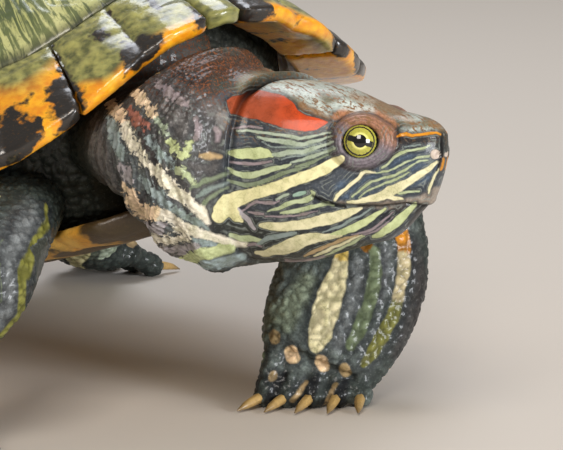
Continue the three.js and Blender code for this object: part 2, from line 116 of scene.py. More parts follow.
def lay_over(tree, colour, over, value, span=None, most=1.0, way="MIX"):
    """Lays one colour over another; each is a hex colour or a socket. The value is the share of the upper
    one, or it shows from none of it at the span's start to most of it at the span's end."""
    if span:
        value = add_node(tree, "MapRange", {
            "Value": value, "From Min": span[0], "From Max": span[1], "To Max": most})
    colour, over = (linear(c) if isinstance(c, str) else c for c in (colour, over))
    return add_node(tree, "Mix", {0: value, 6: colour, 7: over}, 2, data_type="RGBA", blend_type=way)


def finish_material(material, shader, colour, height, strength, depth):
    """Gives the shader its colour and a bump, whose depth is in millimetres."""
    tree = material.node_tree
    bump = add_node(tree, "Bump", {"Height": height, "Strength": strength, "Distance": depth * MM})
    tree.links.new(colour, shader.inputs["Base Color"])
    tree.links.new(bump, shader.inputs["Normal"])
    return material


def voxel_mesh(source, size):
    """One closed even skin of small squares over a closed mesh; size is in millimetres."""
    holder = bpy.data.objects.new("holder", source)
    bpy.context.scene.collection.objects.link(holder)
    remesh = holder.modifiers.new("skin", "REMESH")
    remesh.mode = "VOXEL"
    remesh.voxel_size = size * MM
    made = bpy.data.meshes.new_from_object(holder.evaluated_get(bpy.context.evaluated_depsgraph_get()))
    bpy.data.objects.remove(holder)
    return made


def read_points(mesh, field="co"):
    values = np.empty(len(mesh.vertices) * 3)
    mesh.vertices.foreach_get(field, values)
    return values.reshape(-1, 3)


def body_points(mesh):
    """Where a mesh's points are, in millimetres from the shell's front edge."""
    return read_points(mesh) / MM - ORIGIN


def place_points(mesh, points):
    mesh.vertices.foreach_set("co", ((points + ORIGIN) * MM).ravel())
    mesh.update()


def mesh_edges(mesh):
    pairs = np.empty(len(mesh.edges) * 2, dtype=np.int64)
    mesh.edges.foreach_get("vertices", pairs)
    return pairs.reshape(-1, 2)


def smoothed(points, pairs, rounds, where=None):
    """Moves each point half the way to the middle of its neighbours, rounds times."""
    count = np.bincount(pairs.ravel(), minlength=len(points))[:, None]
    for _ in range(rounds):
        total = np.stack([
            np.bincount(pairs[:, 0], points[pairs[:, 1], axis], len(points))
            + np.bincount(pairs[:, 1], points[pairs[:, 0], axis], len(points)) for axis in range(3)
        ], axis=1)
        step = (total / np.maximum(count, 1) - points) / 2
        points = points + (step if where is None else step * where[:, None])
    return points


def ease(low, high, value):
    """0 below low, 1 above high, and a smooth rise between them."""
    t = np.clip((value - low) / (high - low), 0, 1)
    return t * t * (3 - 2 * t)


def ripple(points, size, seed=0.0):
    """Smooth noise from about -1 to 1 whose bumps are about size millimetres across."""
    shift = Vector((seed * 7.3, seed * 3.1, seed * 5.7))
    scaled = points / size
    return np.array([noise.noise(Vector(p) + shift) for p in scaled])


def store(mesh, name, values):
    """Keeps a number, a place or a colour for every point of a mesh: one, three or four values each."""
    kinds = {1: ("FLOAT", "value"), 3: ("FLOAT_VECTOR", "vector"), 4: ("FLOAT_COLOR", "color")}
    kind, field = kinds[values.size // len(mesh.vertices)]
    layer = mesh.attributes.new(name, kind, "POINT")
    layer.data.foreach_set(field, np.ascontiguousarray(values, dtype=np.float32).ravel())


def make_piece(name, mesh, material, nodes):
    """Puts a finished mesh in the scene as the piece that stands for these parts of the frame."""
    piece = bpy.data.objects.new(name, mesh)
    bpy.context.scene.collection.objects.link(piece)
    mesh.materials.clear()
    mesh.materials.append(material)
    mesh.polygons.foreach_set("use_smooth", [True] * len(mesh.polygons))
    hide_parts(*nodes)
    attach(piece, "root")


def to_shell(points):
    return (points - SHELL_PLACE) @ SHELL_TURN


def from_shell(points):
    return points @ SHELL_TURN.T + SHELL_PLACE


def outline_point(degrees, scale):
    """A point of the shell's plan; 0 degrees is the middle of the front and 180 of the rear."""
    c, s = math.cos(math.radians(degrees)), math.sin(math.radians(degrees))
    reach = WIDEST_AT if c > 0 else SHELL_LENGTH - WIDEST_AT
    power = 2 / OUTLINE_POWER
    across = math.copysign(abs(s) ** power, s) * SHELL_WIDTH / 2
    along = math.copysign(abs(c) ** power, c) * reach
    return across * scale, WIDEST_AT - along * scale


def plan_place(x, y):
    """How far out towards the rim a place is, 1 at the rim, and the cosine and sine of its ring angle."""
    reach = np.where(y < WIDEST_AT, WIDEST_AT, SHELL_LENGTH - WIDEST_AT)
    across, along = np.abs(x) / (SHELL_WIDTH / 2), np.abs(WIDEST_AT - y) / reach
    scale = np.maximum((across ** OUTLINE_POWER + along ** OUTLINE_POWER) ** (1 / OUTLINE_POWER), 1e-4)
    cosine = np.sign(WIDEST_AT - y) * (along / scale) ** (OUTLINE_POWER / 2)
    sine = np.sign(x) * (across / scale) ** (OUTLINE_POWER / 2)
    return scale, cosine, sine


def rim_height(cosine):
    return RIM_SIDE + np.where(
        cosine > 0, RIM_FRONT_RISE * np.abs(cosine) ** 8, RIM_REAR_RISE * np.abs(cosine) ** 4)


def dome_height(scale, cosine):
    rim = rim_height(cosine)
    return rim + (SHELL_TOP - rim) * (1 - np.minimum(scale, 1) ** 2.2) ** (0.75 + 0.35 * cosine ** 2)


def edge_reach(x, y, outline):
    """Distance inside a flat outline, below 0 outside it, and the nearest place on the outline."""
    spots = np.stack((x, y), axis=1)
    best, nearest = np.full(len(x), 1e9), np.zeros_like(spots)
    inside = np.zeros(len(x), dtype=bool)
    for start, end in zip(outline, np.roll(outline, -1, axis=0)):
        along = end - start
        share = np.clip((spots - start) @ along / max(along @ along, 1e-9), 0, 1)
        foot = start + share[:, None] * along
        gap = np.hypot(*(spots - foot).T)
        nearer = gap < best
        best, nearest = np.where(nearer, gap, best), np.where(nearer[:, None], foot, nearest)
        crosses = (start[1] > y) != (end[1] > y)
        if abs(along[1]) > 1e-9:
            inside ^= crosses & (x < start[0] + (y - start[1]) * along[0] / along[1])
    return np.where(inside, best, -best), nearest


# Distance back and half width at the front, the widest place and the rear of each middle scute.
VERTEBRALS = (
    ((19, 12.3), (32, 20), (49, 15)), ((49, 15), (68, 24), (88, 15)), ((88, 15), (108, 25), (128, 14)),
    ((128, 14), (146, 22), (164, 11)), ((164, 11), (183, 24), (191.5, 14)),
)
# Each side scute's corners on the middle row, and the ring angles that it spans at the rim.
PLEURALS = (
    (((32, 20), (49, 15), (68, 24)), 9, 70), (((68, 24), (88, 15), (108, 25)), 70, 88),
    (((108, 25), (128, 14), (146, 22)), 88, 116), (((146, 22), (164, 11), (183, 24)), 116, 154),
)


def vertebral_outline(k):
    right = [(x, y) for y, x in VERTEBRALS[k]]
    left = [(-x, y) for y, x in reversed(VERTEBRALS[k])]
    if k == 0:
        right.insert(0, outline_point(0, MARGINAL_INSIDE))
    # The last one fans out along the rim, from one side row to the other.
    if k == 4:
        right[2:] = [outline_point(degrees, MARGINAL_INSIDE) for degrees in (154, 167, 180)]
        left[:1] = [outline_point(degrees, MARGINAL_INSIDE) for degrees in (-167, -154)]
    return np.array(right + left, dtype=float)


def pleural_outline(k, side):
    middle, first, last = PLEURALS[k]
    points = [(x, y) for y, x in middle]
    points += [outline_point(last + (first - last) * s / 6, MARGINAL_INSIDE) for s in range(7)]
    return np.array(points, dtype=float) * (side, 1)


def keratin_green():
    """Polished green keratin: fine wavy yellow lines run outwards under a clear glossy layer."""
    material, tree, shader = start_material(
        "grown_keratin_green", 0.34, coat=0.45, coat_roughness=0.16, ior=1.54)
    place = add_node(tree, "Attribute", out="Vector", attribute_name="growth_mm")
    to_seam = add_node(tree, "Attribute", out="Fac", attribute_name="seam_mm")
    # Growth lines lie about 1.6 mm apart and are several times longer than wide.
    drawn_out = add_node(tree, "Mapping", {"Vector": place, "Scale": (0.62, 0.11, 0.3)})
    streaks = add_node(tree, "TexNoise", {
        "Vector": drawn_out, "Scale": 1.0, "Detail": 4.0, "Roughness": 0.6, "Distortion": 0.9})
    clouds = add_node(tree, "TexNoise", {"Vector": place, "Scale": 0.07, "Detail": 3.0})
    fine = add_node(tree, "TexNoise", {"Vector": place, "Scale": 1.7, "Detail": 5.0})
    ground = lay_over(tree, "#4d5a35", "#78804f", clouds, (0.4, 0.62))
    lines = lay_over(tree, "#a9ac6c", "#c9c98e", clouds, (0.4, 0.62))
    colour = lay_over(tree, ground, lines, streaks, (0.47, 0.56))
    colour = lay_over(tree, colour, "#3a4230", fine, (0.56, 0.72), 0.5)
    colour = lay_over(tree, colour, "#2b2c22", to_seam, (2.4, 0.5), 0.75)
    return finish_material(material, shader, colour, fine, strength=0.22, depth=0.3)


green_keratin = keratin_green()


# A plate's sides within this distance of its outline are made even.
WALL_BAND = 0.35
SCUTE_VOXEL = 0.8
RING_STEP = 1.9
# The keratin's pattern is laid out round the shell, in millimetres a radian, and from its middle outwards.
PATTERN_TURN, PATTERN_REACH = 60, 90


def plate_points(name, size, rounds, outline):
    """A plate's fine mesh, its edges, its points in the shell's axes and their distance inside an outline."""
    mesh = voxel_mesh(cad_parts[name].data.copy(), size)
    pairs = mesh_edges(mesh)
    points = to_shell(smoothed(body_points(mesh), pairs, rounds))
    inside, nearest = edge_reach(points[:, 0], points[:, 1], outline)
    # The sides of the plate are drawn onto a clean line just inside its outline.
    away = points[:, :2] - nearest
    away *= (np.sign(inside) / np.maximum(np.abs(inside), 1e-6))[:, None]
    wall = inside < SEAM + WALL_BAND
    points[wall, :2] = nearest[wall] + away[wall] * SEAM
    return mesh, pairs, points, np.where(wall, SEAM, inside)


def make_scute(name, outline):
    mesh, _, points, inside = plate_points(name, SCUTE_VOXEL, 2, outline)
    scale, cosine, sine = plan_place(points[:, 0], points[:, 1])
    top = dome_height(scale, cosine)
    on_top = 1 - ease(1.6, 3.4, top - points[:, 2])
    swell = 0.9 * ease(0, 11, inside) - 1.0 * np.exp(-inside / 0.8)
    rings = 0.11 * np.sin(inside * 2 * math.pi / RING_STEP + 1.5 * ripple(points, 9)) * ease(0.8, 2.5, inside)
    relief = swell + rings * (1 - ease(9, 14, inside)) + 0.16 * ripple(points, 5, 1)
    points[:, 2] += on_top * (top + relief - points[:, 2])
    place_points(mesh, from_shell(points))
    around = np.arctan2(sine, cosine) * PATTERN_TURN
    place = np.stack((around, scale * PATTERN_REACH, points[:, 2] * 0.3), axis=1)
    store(mesh, "growth_mm", place)
    store(mesh, "seam_mm", inside)
    make_piece("plate_" + name, mesh, green_keratin, [name])


for k in range(5):
    make_scute(f"vertebral_{k + 1}", vertebral_outline(k))
for side, word in ((1, "left"), (-1, "right")):
    for k in range(4):
        make_scute(f"pleural_{word}_{k + 1}", pleural_outline(k, side))

# ---------------------------------------------------------------- rim
# Twelve marginal scutes a side and the small cervical one make the rounded rim of the shell.
# They are the same keratin, orange over the front and side edge, with a black blotch at each seam.

CERVICAL_ANGLE = 2.4
MARGINAL_ANGLES = (CERVICAL_ANGLE, 25, 50, 84, 112, 141, 180)
RIM_VOXEL = 0.7
# Millimetres of rim for each degree of ring angle, and from the shell's middle to its rim, on average.
RIM_PER_DEGREE, SHELL_REACH = 1.35, 95


def rim_outline(first, last, side):
    """The plan of a piece of rim, which reaches a little past the shell's own outline."""
    outer = [outline_point(first + (last - first) * s / 5, 1.06) for s in range(6)]
    inner = [outline_point(last + (first - last) * s / 5, MARGINAL_INSIDE) for s in range(6)]
    return np.array(outer + inner) * (side, 1)


def keratin_orange():
    """Polished orange keratin with soft-edged black blotches, wet and glossy over the rounded edge."""
    material, tree, shader = start_material(
        "grown_keratin_orange", 0.3, coat=0.6, coat_roughness=0.1, ior=1.54)
    place = add_node(tree, "Attribute", out="Vector", attribute_name="growth_mm")
    dark_reach, green = (
        add_node(tree, "Attribute", out="Fac", attribute_name=name) for name in ("dark_reach_mm", "green_share"))
    drift = add_node(tree, "TexNoise", {"Vector": place, "Scale": 0.55, "Detail": 5.0})
    fine = add_node(tree, "TexNoise", {"Vector": place, "Scale": 2.2, "Detail": 4.0})
    orange = lay_over(tree, "#e08a10", "#f7b31c", drift, (0.35, 0.66))
    olive = lay_over(tree, "#565a34", "#a19f5c", drift, (0.35, 0.66))
    colour = lay_over(tree, orange, olive, green)
    edge = add_node(tree, "Math", {0: drift, 1: 5.0, 2: dark_reach}, operation="MULTIPLY_ADD")
    colour = lay_over(tree, colour, "#1d1916", edge, (2.2, 3.1))
    colour = lay_over(tree, colour, "#7c5413", fine, (0.58, 0.74), 0.35)
    return finish_material(material, shader, colour, drift, strength=0.35, depth=0.7)


orange_keratin = keratin_orange()


def make_rim_piece(name, first, last, side):
    mesh, pairs, points, inside = plate_points(name, RIM_VOXEL, 4, rim_outline(first, last, side))
    scale, cosine, sine = plan_place(points[:, 0], points[:, 1])
    top = dome_height(scale, cosine)
    on_top = (1 - ease(1.4, 2.8, top - points[:, 2])) * (1 - ease(0.94, 0.985, scale))
    angle = np.degrees(np.arctan2(np.abs(sine), cosine))
    # Two marginals share a piece, so one more seam runs down its middle.
    half = (last - first) / (1 if name == "cervical" else 2)
    share = ((angle - first) / half) % 1
    to_seam = np.minimum(share, 1 - share) * half * RIM_PER_DEGREE
    if name == "cervical":
        to_seam = inside
    crown = np.sin(np.pi * np.clip(share, 0, 1))
    to_edge = np.minimum(inside, to_seam)
    relief = 0.7 * ease(0, 7, to_edge) - 0.9 * np.exp(-to_edge / 0.7)
    relief += 0.35 * ripple(points, 6, 2) + 0.12 * np.sin(scale * 210 + ripple(points, 8, 3))
    points[:, 2] += on_top * (top + relief - points[:, 2])
    # The outer edge swells a little between the seams and pinches in at each of them.
    outer = ease(0.9, 0.99, scale)
    push = outer * (0.9 * crown - 0.75 * np.exp(-to_seam / 0.9) + 0.3 * ripple(points, 7, 4))
    out = points[:, :2] - (0.0, WIDEST_AT)
    out /= np.maximum(np.hypot(*out.T), 1e-6)[:, None]
    points[:, :2] += out * push[:, None]
    points = smoothed(points, pairs, 3, where=outer)
    place_points(mesh, from_shell(points))
    from_rim, drop = (1 - scale) * SHELL_REACH, top - points[:, 2]
    under = ease(1.5, 3.0, drop) * (1 - outer)
    # The foremost pair is olive over most of its face, with an orange edge; the others are mostly orange.
    narrow = 1 if last <= MARGINAL_ANGLES[1] else 0
    # The black blotch sits across each seam, low on the face, with a narrow band up the seam.
    own = np.floor((angle - first) / half + 0.5) + first
    size = 5.2 + 1.5 * np.sin(own * 2.7 + side) - 2.2 * narrow
    aside = to_seam * (0.8 + 0.25 * np.sin(own * 1.9)) + 0.9 * ripple(points, 5, 6)
    dark_reach = size - np.hypot(aside, (from_rim - 1.2 - 1.6 * np.sin(own * 3.1) + drop) * 0.8)
    band = 0.5 + 1.3 * ripple(points, 7, 8) - to_seam
    # A second, smaller smudge lies somewhere within each scute.
    beside = (share - 0.5 - 0.2 * np.sin(own * 5.3)) * half * RIM_PER_DEGREE
    smudge = 1.2 - np.hypot(beside * 0.7, (from_rim - 9) * 0.6)
    dark_reach = np.maximum(np.maximum(dark_reach, band), smudge + 2.2 * ripple(points, 6, 9))
    inner = from_rim + 2.6 * ripple(points, 9, 7) + 2.2 * crown
    green = ease(8.5 - 6 * narrow, 12.5 - 7.5 * narrow, inner) * (1 - under)
    if name == "cervical":
        green = np.ones_like(green)
        dark_reach = np.full_like(green, -4.0)
    around = np.arctan2(sine, cosine) * PATTERN_TURN
    store(mesh, "growth_mm", np.stack((around, scale * PATTERN_REACH, points[:, 2]), axis=1))
    store(mesh, "dark_reach_mm", dark_reach)
    store(mesh, "green_share", green)
    make_piece("plate_" + name, mesh, orange_keratin, [name])


make_rim_piece("cervical", -CERVICAL_ANGLE, CERVICAL_ANGLE, 1)
for side, word in ((1, "left"), (-1, "right")):
    for k in range(6):
        span = MARGINAL_ANGLES[k], MARGINAL_ANGLES[k + 1]
        make_rim_piece(f"marginals_{word}_{2 * k + 1}_{2 * k + 2}", *span, side)

# ---------------------------------------------------------------- plastron
# The lower shell: a front lobe, the bridge that joins the rim at both sides, and a rear lobe.
# It is bone under yellow keratin, with a dark smudge on every plate and a grooved seam around each; painted
# shade darkens its front end.

PLASTRON_SEAMS = (28, 44, 60, 96, 130, 160)
# How far back the lower shell begins, and how far out from its middle the bars of its edge do.
PLASTRON_FRONT, BARS_FROM = 14, 38
PLASTRON_VOXEL = 0.9


def hump(value, centre, width):
    """1 where the value is at the centre, and near 0 from about twice the width away on both sides."""
    return np.exp(-((value - centre) / width) ** 2)


def keratin_yellow():
    """Worn yellow keratin with smoky dark patches and painted shade over the front end; it is rubbed dull by
    the ground.
    """
    material, tree, shader = start_material(
        "worn_keratin_yellow", 0.42, coat=0.2, coat_roughness=0.3, ior=1.54)
    place = add_node(tree, "Attribute", out="Vector", attribute_name="growth_mm")
    dark_reach = add_node(tree, "Attribute", out="Fac", attribute_name="dark_reach_mm")
    drift = add_node(tree, "TexNoise", {"Vector": place, "Scale": 0.22, "Detail": 5.0})
    fine = add_node(tree, "TexNoise", {"Vector": place, "Scale": 1.6, "Detail": 4.0})
    colour = lay_over(tree, "#c98f2e", "#e3b95a", drift, (0.35, 0.65))
    edge = add_node(tree, "Math", {0: drift, 1: 9.0, 2: dark_reach}, operation="MULTIPLY_ADD")
    colour = lay_over(tree, colour, "#221d18", edge, (3.6, 5.4), 0.94)
    colour = lay_over(tree, colour, "#6b5633", fine, (0.55, 0.7), 0.3)
    return finish_material(material, shader, colour, fine, strength=0.3, depth=0.4)


yellow_keratin = keratin_yellow()
for name in ("plastron_front", "plastron_bridge", "plastron_rear"):
    mesh = voxel_mesh(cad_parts[name].data.copy(), PLASTRON_VOXEL)
    points = to_shell(smoothed(body_points(mesh), mesh_edges(mesh), 6))
    x, y, z = points.T
    across = np.min([np.abs(y - seam - 0.06 * np.abs(x) ** 1.1) for seam in PLASTRON_SEAMS], axis=0)
    to_seam = np.minimum(across, np.abs(x + 0.8 * np.sin(y / 17)))
    normals = read_points(mesh, "normal") @ SHELL_TURN
    points -= normals * (0.55 * hump(to_seam, 0, 0.8) - 0.15 * ripple(points, 5, 5))[:, None]
    place_points(mesh, from_shell(points))
    starts = np.array((0,) + PLASTRON_SEAMS + (190,), dtype=float)
    cell = np.clip(np.searchsorted(starts, y) - 1, 0, len(starts) - 2)
    centre, spread = (starts[cell + 1] + starts[cell]) / 2, (starts[cell + 1] - starts[cell]) / 2
    dark_reach = 9 - np.hypot((np.abs(x) - 20) * 0.62, (y - centre) * 11 / spread)
    # Painted shade: the front lobe is darkened over its first few millimetres.
    dark_reach = np.maximum(dark_reach, 7 - 0.6 * (y - PLASTRON_FRONT))
    # Along its edge the lower shell carries a row of dark bars, widest on the bridge.
    bars = 1.2 + 2.6 * np.sin(y * 0.33 + 0.9 * np.sin(y * 0.17)) + 3.4 * ripple(points, 9, 10)
    bars -= 0.25 * np.abs(z - 11)
    dark_reach = np.where(np.abs(x) > BARS_FROM, np.maximum(dark_reach, bars), dark_reach)
    store(mesh, "growth_mm", points)
    store(mesh, "dark_reach_mm", dark_reach)
    make_piece("plate_" + name, mesh, yellow_keratin, [name])

# ---------------------------------------------------------------- skin
# One skin covers head, neck, legs and tail and closes the openings of the shell, with no seam between them.
# It is thin and wet: smooth over the skull, loose and folded round the neck, and scaly on the legs.

SKIN_VOXEL = 0.6
FLESH_GAP = 0.5


def smooth_rows(rows, steps):
    """Rows of numbers joined by a smooth curve, with steps new rows for each old one."""
    rows = np.asarray(rows, dtype=float)
    place = np.arange((len(rows) - 1) * steps + 1) / steps
    first = np.minimum(place.astype(int), len(rows) - 2)
    f = (place - first).reshape((-1,) + (1,) * (rows.ndim - 1))
    padded = np.concatenate((2 * rows[:1] - rows[1:2], rows, 2 * rows[-1:] - rows[-2:-1]))
    a, b, c, d = (padded[first + k] for k in range(4))
    bend, twist = 2 * a - 5 * b + 4 * c - d, 3 * b - a - 3 * c + d
    return 0.5 * (2 * b + (c - a) * f + bend * f ** 2 + twist * f ** 3)


def rounded_ring(centre, right, up, half, rise, drop, power=2.2, sides=56):
    angle = 2 * math.pi * np.arange(sides) / sides
    across, high = (np.sign(wave) * np.abs(wave) ** (2 / power) for wave in (np.cos(angle), np.sin(angle)))
    high = high * np.where(high > 0, rise, drop)
    return np.asarray(centre) + np.outer(across * half, right) + np.outer(high, up)


flesh_points, flesh_faces = [], []


def add_flesh(rings, steps=4):
    """Closes a smooth surface over a row of rings and adds it to the flesh."""
    rings = smooth_rows(rings, steps)
    rows, sides = rings.shape[:2]
    base = sum(len(part) for part in flesh_points)
    flesh_points.append(rings.reshape(-1, 3))
    flesh_points.append(np.array((rings[0].mean(axis=0), rings[-1].mean(axis=0))))
    caps = base + rows * sides
    for k in range(sides):
        after = (k + 1) % sides
        for r in range(rows - 1):
            low, high = base + r * sides, base + (r + 1) * sides
            flesh_faces.append((low + k, low + after, high + after, high + k))
        last = base + (rows - 1) * sides
        flesh_faces.append((base + after, base + k, caps))
        flesh_faces.append((last + k, last + after, caps + 1))


# The head: distance ahead of the eyes, half width, height of crown, depth of throat and squareness.
HEAD_SECTIONS = (
    (-44, 17.5, 12, 26, 2.2), (-36, 16.6, 11.8, 27, 2.3), (-28, 16, 11.5, 27.5, 2.35),
    (-20, 16.2, 11.5, 27.6, 2.35), (-13, 15.4, 11.2, 27, 2.35), (-6, 13.4, 10.2, 24.8, 2.35),
    (0, 11.2, 8.1, 22.7, 2.4), (5, 9.8, 6.1, 21.2, 2.5), (9.5, 8.1, 5.2, 17.4, 2.6),
    (13, 5.9, 4.3, 13.6, 2.6), (15.3, 3.6, 2.9, 7.6, 2.4), (16.3, 1.5, 1.0, 3.4, 2.2),
)


def head_ring(ahead, half, crown, throat, power=2.35):
    centre = HEAD_CENTRE + ahead * AHEAD + (crown - throat) / 2 * UPWARD
    height = (crown + throat) / 2
    return rounded_ring(centre, LEFTWARD, UPWARD, half, height, height, power)


add_flesh([head_ring(*row) for row in HEAD_SECTIONS], 5)

# The neck: centre, heading to the left, half width, rise and drop; its last rings close round the skull.
NECK_RINGS = (
    ((-1, 30, 62), 0, 19, 10, 10), ((-1, 12, 62), 4, 24, 14, 11), ((-1.4, 5, 61), 9, 25.2, 19.5, 15),
    ((-1.6, -1, 61), 17, 25.2, 22.5, 22), ((-1.4, -6.5, 61.5), 26, 22.6, 22, 25),
)
neck_rings = []
for centre, heading, half, rise, drop in NECK_RINGS:
    sideways = np.array((math.cos(math.radians(heading)), math.sin(math.radians(heading)), 0))
    neck_rings.append(rounded_ring(centre, sideways, (0, 0, 1), half, rise, drop))
for ahead, wider in ((-30, 3.2), (-27, 1.8), (-24, 0.4)):
    neck_rings.append(head_ring(ahead, 16 + wider, 11.5 + wider * 0.8, 27.5 + wider * 0.5))
add_flesh(neck_rings, 5)


def tube_rings(stations, hint, sides=44):
    centres = np.array([station[0] for station in stations], dtype=float)
    rings = []
    for k, (_, half, thick, *turned) in enumerate(stations):
        wide = np.array(turned[0] if turned else hint, dtype=float)
        along = centres[min(k + 1, len(centres) - 1)] - centres[max(k - 1, 0)]
        up = np.cross(along, wide)
        up /= np.linalg.norm(up)
        across = np.cross(up, along)
        across /= np.linalg.norm(across)
        rings.append(rounded_ring(centres[k], across, up, half, thick, thick, 2.2, sides))
    return rings


TAIL_PATH = (
    ((2, 164, 25), 7, 7), ((1, 178, 22.5), 6.6, 6.6), ((-1, 190, 18.5), 6, 6), ((-4, 202, 14), 5, 5),
    ((-8, 214, 9.5), 3.6, 3.6), ((-14, 226, 5.5), 1.7, 1.7),
)
add_flesh(tube_rings(TAIL_PATH, (1, 0, 0)))


# How far from the shell's middle each ring of the trunk is, and its height where it isn't under the dome.
TRUNK_RINGS = (
    (0.1, None), (0.4, None), (0.62, None), (0.78, None), (0.79, 27), (0.75, 15), (0.7, 8.5), (0.4, 6.5),
)
TRUNK_SIDES, TRUNK_GAP = 56, 1.8
trunk_rings = []
for scale, height in TRUNK_RINGS:
    spots = np.array([outline_point(360 * k / TRUNK_SIDES, scale) for k in range(TRUNK_SIDES)])
    if height is None:
        flat, cosine, _ = plan_place(*spots.T)
        height = dome_height(flat, cosine) - SCUTE_DEPTH - TRUNK_GAP
    trunk_rings.append(from_shell(np.column_stack((spots, np.full(TRUNK_SIDES, height, dtype=float)))))
add_flesh(trunk_rings, 2)

# Each leg's path: centre, half width, half thickness and sometimes the way it is widest, from the body to
# the ball of the foot; then the way the foot is widest, the way its toes point, and the toes' places,
# length and half thickness.
LEGS = {
    "front_left": (
        (((30, 34, 55), 8, 9, (0.4, 0.1, 0.9)), ((39, 22, 54), 9, 10, (0.4, 0.1, 0.9)),
         ((46.5, 13.5, 48), 11.5, 10, (0.75, -0.2, 0.6)), ((49.4, 9.9, 40), 12.9, 9.5, (0.8, -0.5, 0.1)),
         ((46.8, 8.3, 31), 15.8, 8.6), ((41.8, 8.2, 22), 17, 7.5), ((36.6, 7.5, 14), 15.6, 6.5),
         ((33, 6.5, 9), 13.8, 5)),
        (0.75, -0.58, -0.3), (-0.42, -0.3, -0.86), (-11.5, -5.8, 0, 5.8, 11.2), 7.5, 2.9),
    "front_right": (
        (((-28, 34, 49), 10, 7), ((-40, 23, 46), 11, 8.5), ((-54, 14, 38), 13, 10), ((-61, 17, 28), 12.5, 9),
         ((-65, 18, 19), 12, 7.5), ((-67, 15, 11), 13, 6), ((-68, 9, 6.5), 13.5, 5)),
        (0.93, -0.36, 0), (-0.33, -0.88, -0.32), (-11.5, -5.8, 0, 5.8, 11.2), 8.5, 2.9),
    "hind_left": (
        (((32, 152, 33), 13, 8), ((47, 148, 33), 14, 9.5), ((62, 144, 28), 14, 11), ((71, 152, 20), 11, 10),
         ((76, 160, 11), 11, 8), ((83, 162, 7), 14, 5.5)),
        (-0.3, 0.95, 0), (0.93, 0.3, -0.24), (-11, -3.8, 3.8, 11), 10, 3.2),
    "hind_right": (
        (((-10, 148, 32), 10, 6), ((-24, 152, 27), 11.5, 6.3), ((-35, 153.5, 22), 12.3, 6.8),
         ((-46, 153, 20), 13, 7.5), ((-61, 156, 18.5), 14, 9.5), ((-68, 166, 14.5), 11, 9),
         ((-71, 174, 10.5), 11, 7.5), ((-76, 180, 7), 14, 5.5)),
        (0.55, 0.83, 0), (-0.8, 0.52, -0.24), (-11, -3.8, 3.8, 11), 10, 3.2),
}
toe_lines = {}
for leg, (path, across, ahead, places, reach, radius) in LEGS.items():
    across, ahead = (np.array(v) / np.linalg.norm(v) for v in (across, ahead))
    add_flesh(tube_rings(path, across))
    ball = np.array(path[-1][0], dtype=float)
    toe_lines[leg] = []
    for place in places:
        fan = place / max(places)
        root = ball + across * place * 0.86
        way = ahead + across * 0.22 * fan
        way /= np.linalg.norm(way)
        tip = root + way * reach * (1 - 0.18 * fan ** 2)
        tip[2] = radius - 0.35
        way = (tip - root) / np.linalg.norm(tip - root)
        toe_lines[leg].append((root, tip))
        # A toe is a little thinner between its two joints and rounded at its end.
        stations = (
            (root - way * 2, 0.7), (root, 0.96), ((root * 2 + tip) / 3, 0.88), ((root + tip * 2) / 3, 0.93),
            (tip, 0.98), (tip + way * radius * 0.55, 0.84), (tip + way * radius * 0.96, 0.3),
        )
        add_flesh(tube_rings([(spot, size * radius, size * radius) for spot, size in stations], across, 24))
    # A thin web joins the toes over about half of their length.
    middle = np.mean([tip for _, tip in toe_lines[leg]], axis=0)
    web = [
        (ball + (middle - ball) * t, max(places) * 0.84 + 0.2 * reach * t, 2.4 - 1.3 * t)
        for t in (-0.3, 0.1, 0.4, 0.66)
    ]
    add_flesh(tube_rings(web, across, 32))

flesh = bpy.data.meshes.new("flesh")
flesh.from_pydata((np.concatenate(flesh_points) + ORIGIN) * MM, [], flesh_faces)
skin_mesh = voxel_mesh(flesh, SKIN_VOXEL)

# Distance back, half width and height of the underside of each lobe of the plastron.
FRONT_LOBE = ((14, 22, 6), (20, 32, 4.5), (36, 38, 2.5), (50, 42, 1), (60, 45, 0.5))
REAR_LOBE = ((130, 46, 0.5), (146, 46, 0.5), (162, 41, 1), (175, 33, 2), (186, 18, 3.5))
PLASTRON_THICK, RIM_EDGE = 5.0, 3.2
# The flesh stays this far under the scutes, and this far past a lobe's outline counts as over it.
SCUTE_GAP, LOBE_MARGIN = 0.9, 0.6


def clear_of_shell(points):
    """Keeps the flesh under the plates of the upper shell and above those of the plastron."""
    x, y, z = to_shell(points).T
    scale, cosine, _ = plan_place(x, y)
    inner = dome_height(scale, cosine) - SCUTE_DEPTH - SCUTE_GAP
    roof = np.where(scale < MARGINAL_INSIDE - 0.015, inner, rim_height(cosine) - RIM_EDGE - FLESH_GAP)
    z = np.where(scale < 1.03, np.minimum(z, roof), z)
    for lobe in (FRONT_LOBE, REAR_LOBE):
        back, half, low = np.array(lobe).T
        width = np.interp(y, back, half)
        share = np.abs(x) / width
        top = np.interp(y, back, low) + PLASTRON_THICK + 1.7 * ease(0.55, 1, share) + FLESH_GAP
        under = np.interp(y, back, low) - FLESH_GAP
        over = (y > back[0] - LOBE_MARGIN) & (y < back[-1] + LOBE_MARGIN)
        over &= (np.abs(x) < width + LOBE_MARGIN) & (z > under)
        z = np.where(over, np.where(z > (top + under) / 2 - 1, np.maximum(z, top), under), z)
    return from_shell(np.stack((x, y, z), axis=1))


def head_place(points):
    """Ahead of, left of and above the point midway between the eyes."""
    return (points - HEAD_CENTRE) @ np.stack((AHEAD, LEFTWARD, UPWARD)).T


def finer_where(mesh, chosen):
    """Cuts every edge between chosen points in two."""
    work = bmesh.new()
    work.from_mesh(mesh)
    work.verts.ensure_lookup_table()
    edges = [edge for edge in work.edges if chosen[edge.verts[0].index] and chosen[edge.verts[1].index]]
    bmesh.ops.subdivide_edges(work, edges=edges, cuts=1, use_grid_fill=True)
    work.to_mesh(mesh)
    work.free()
    mesh.update()


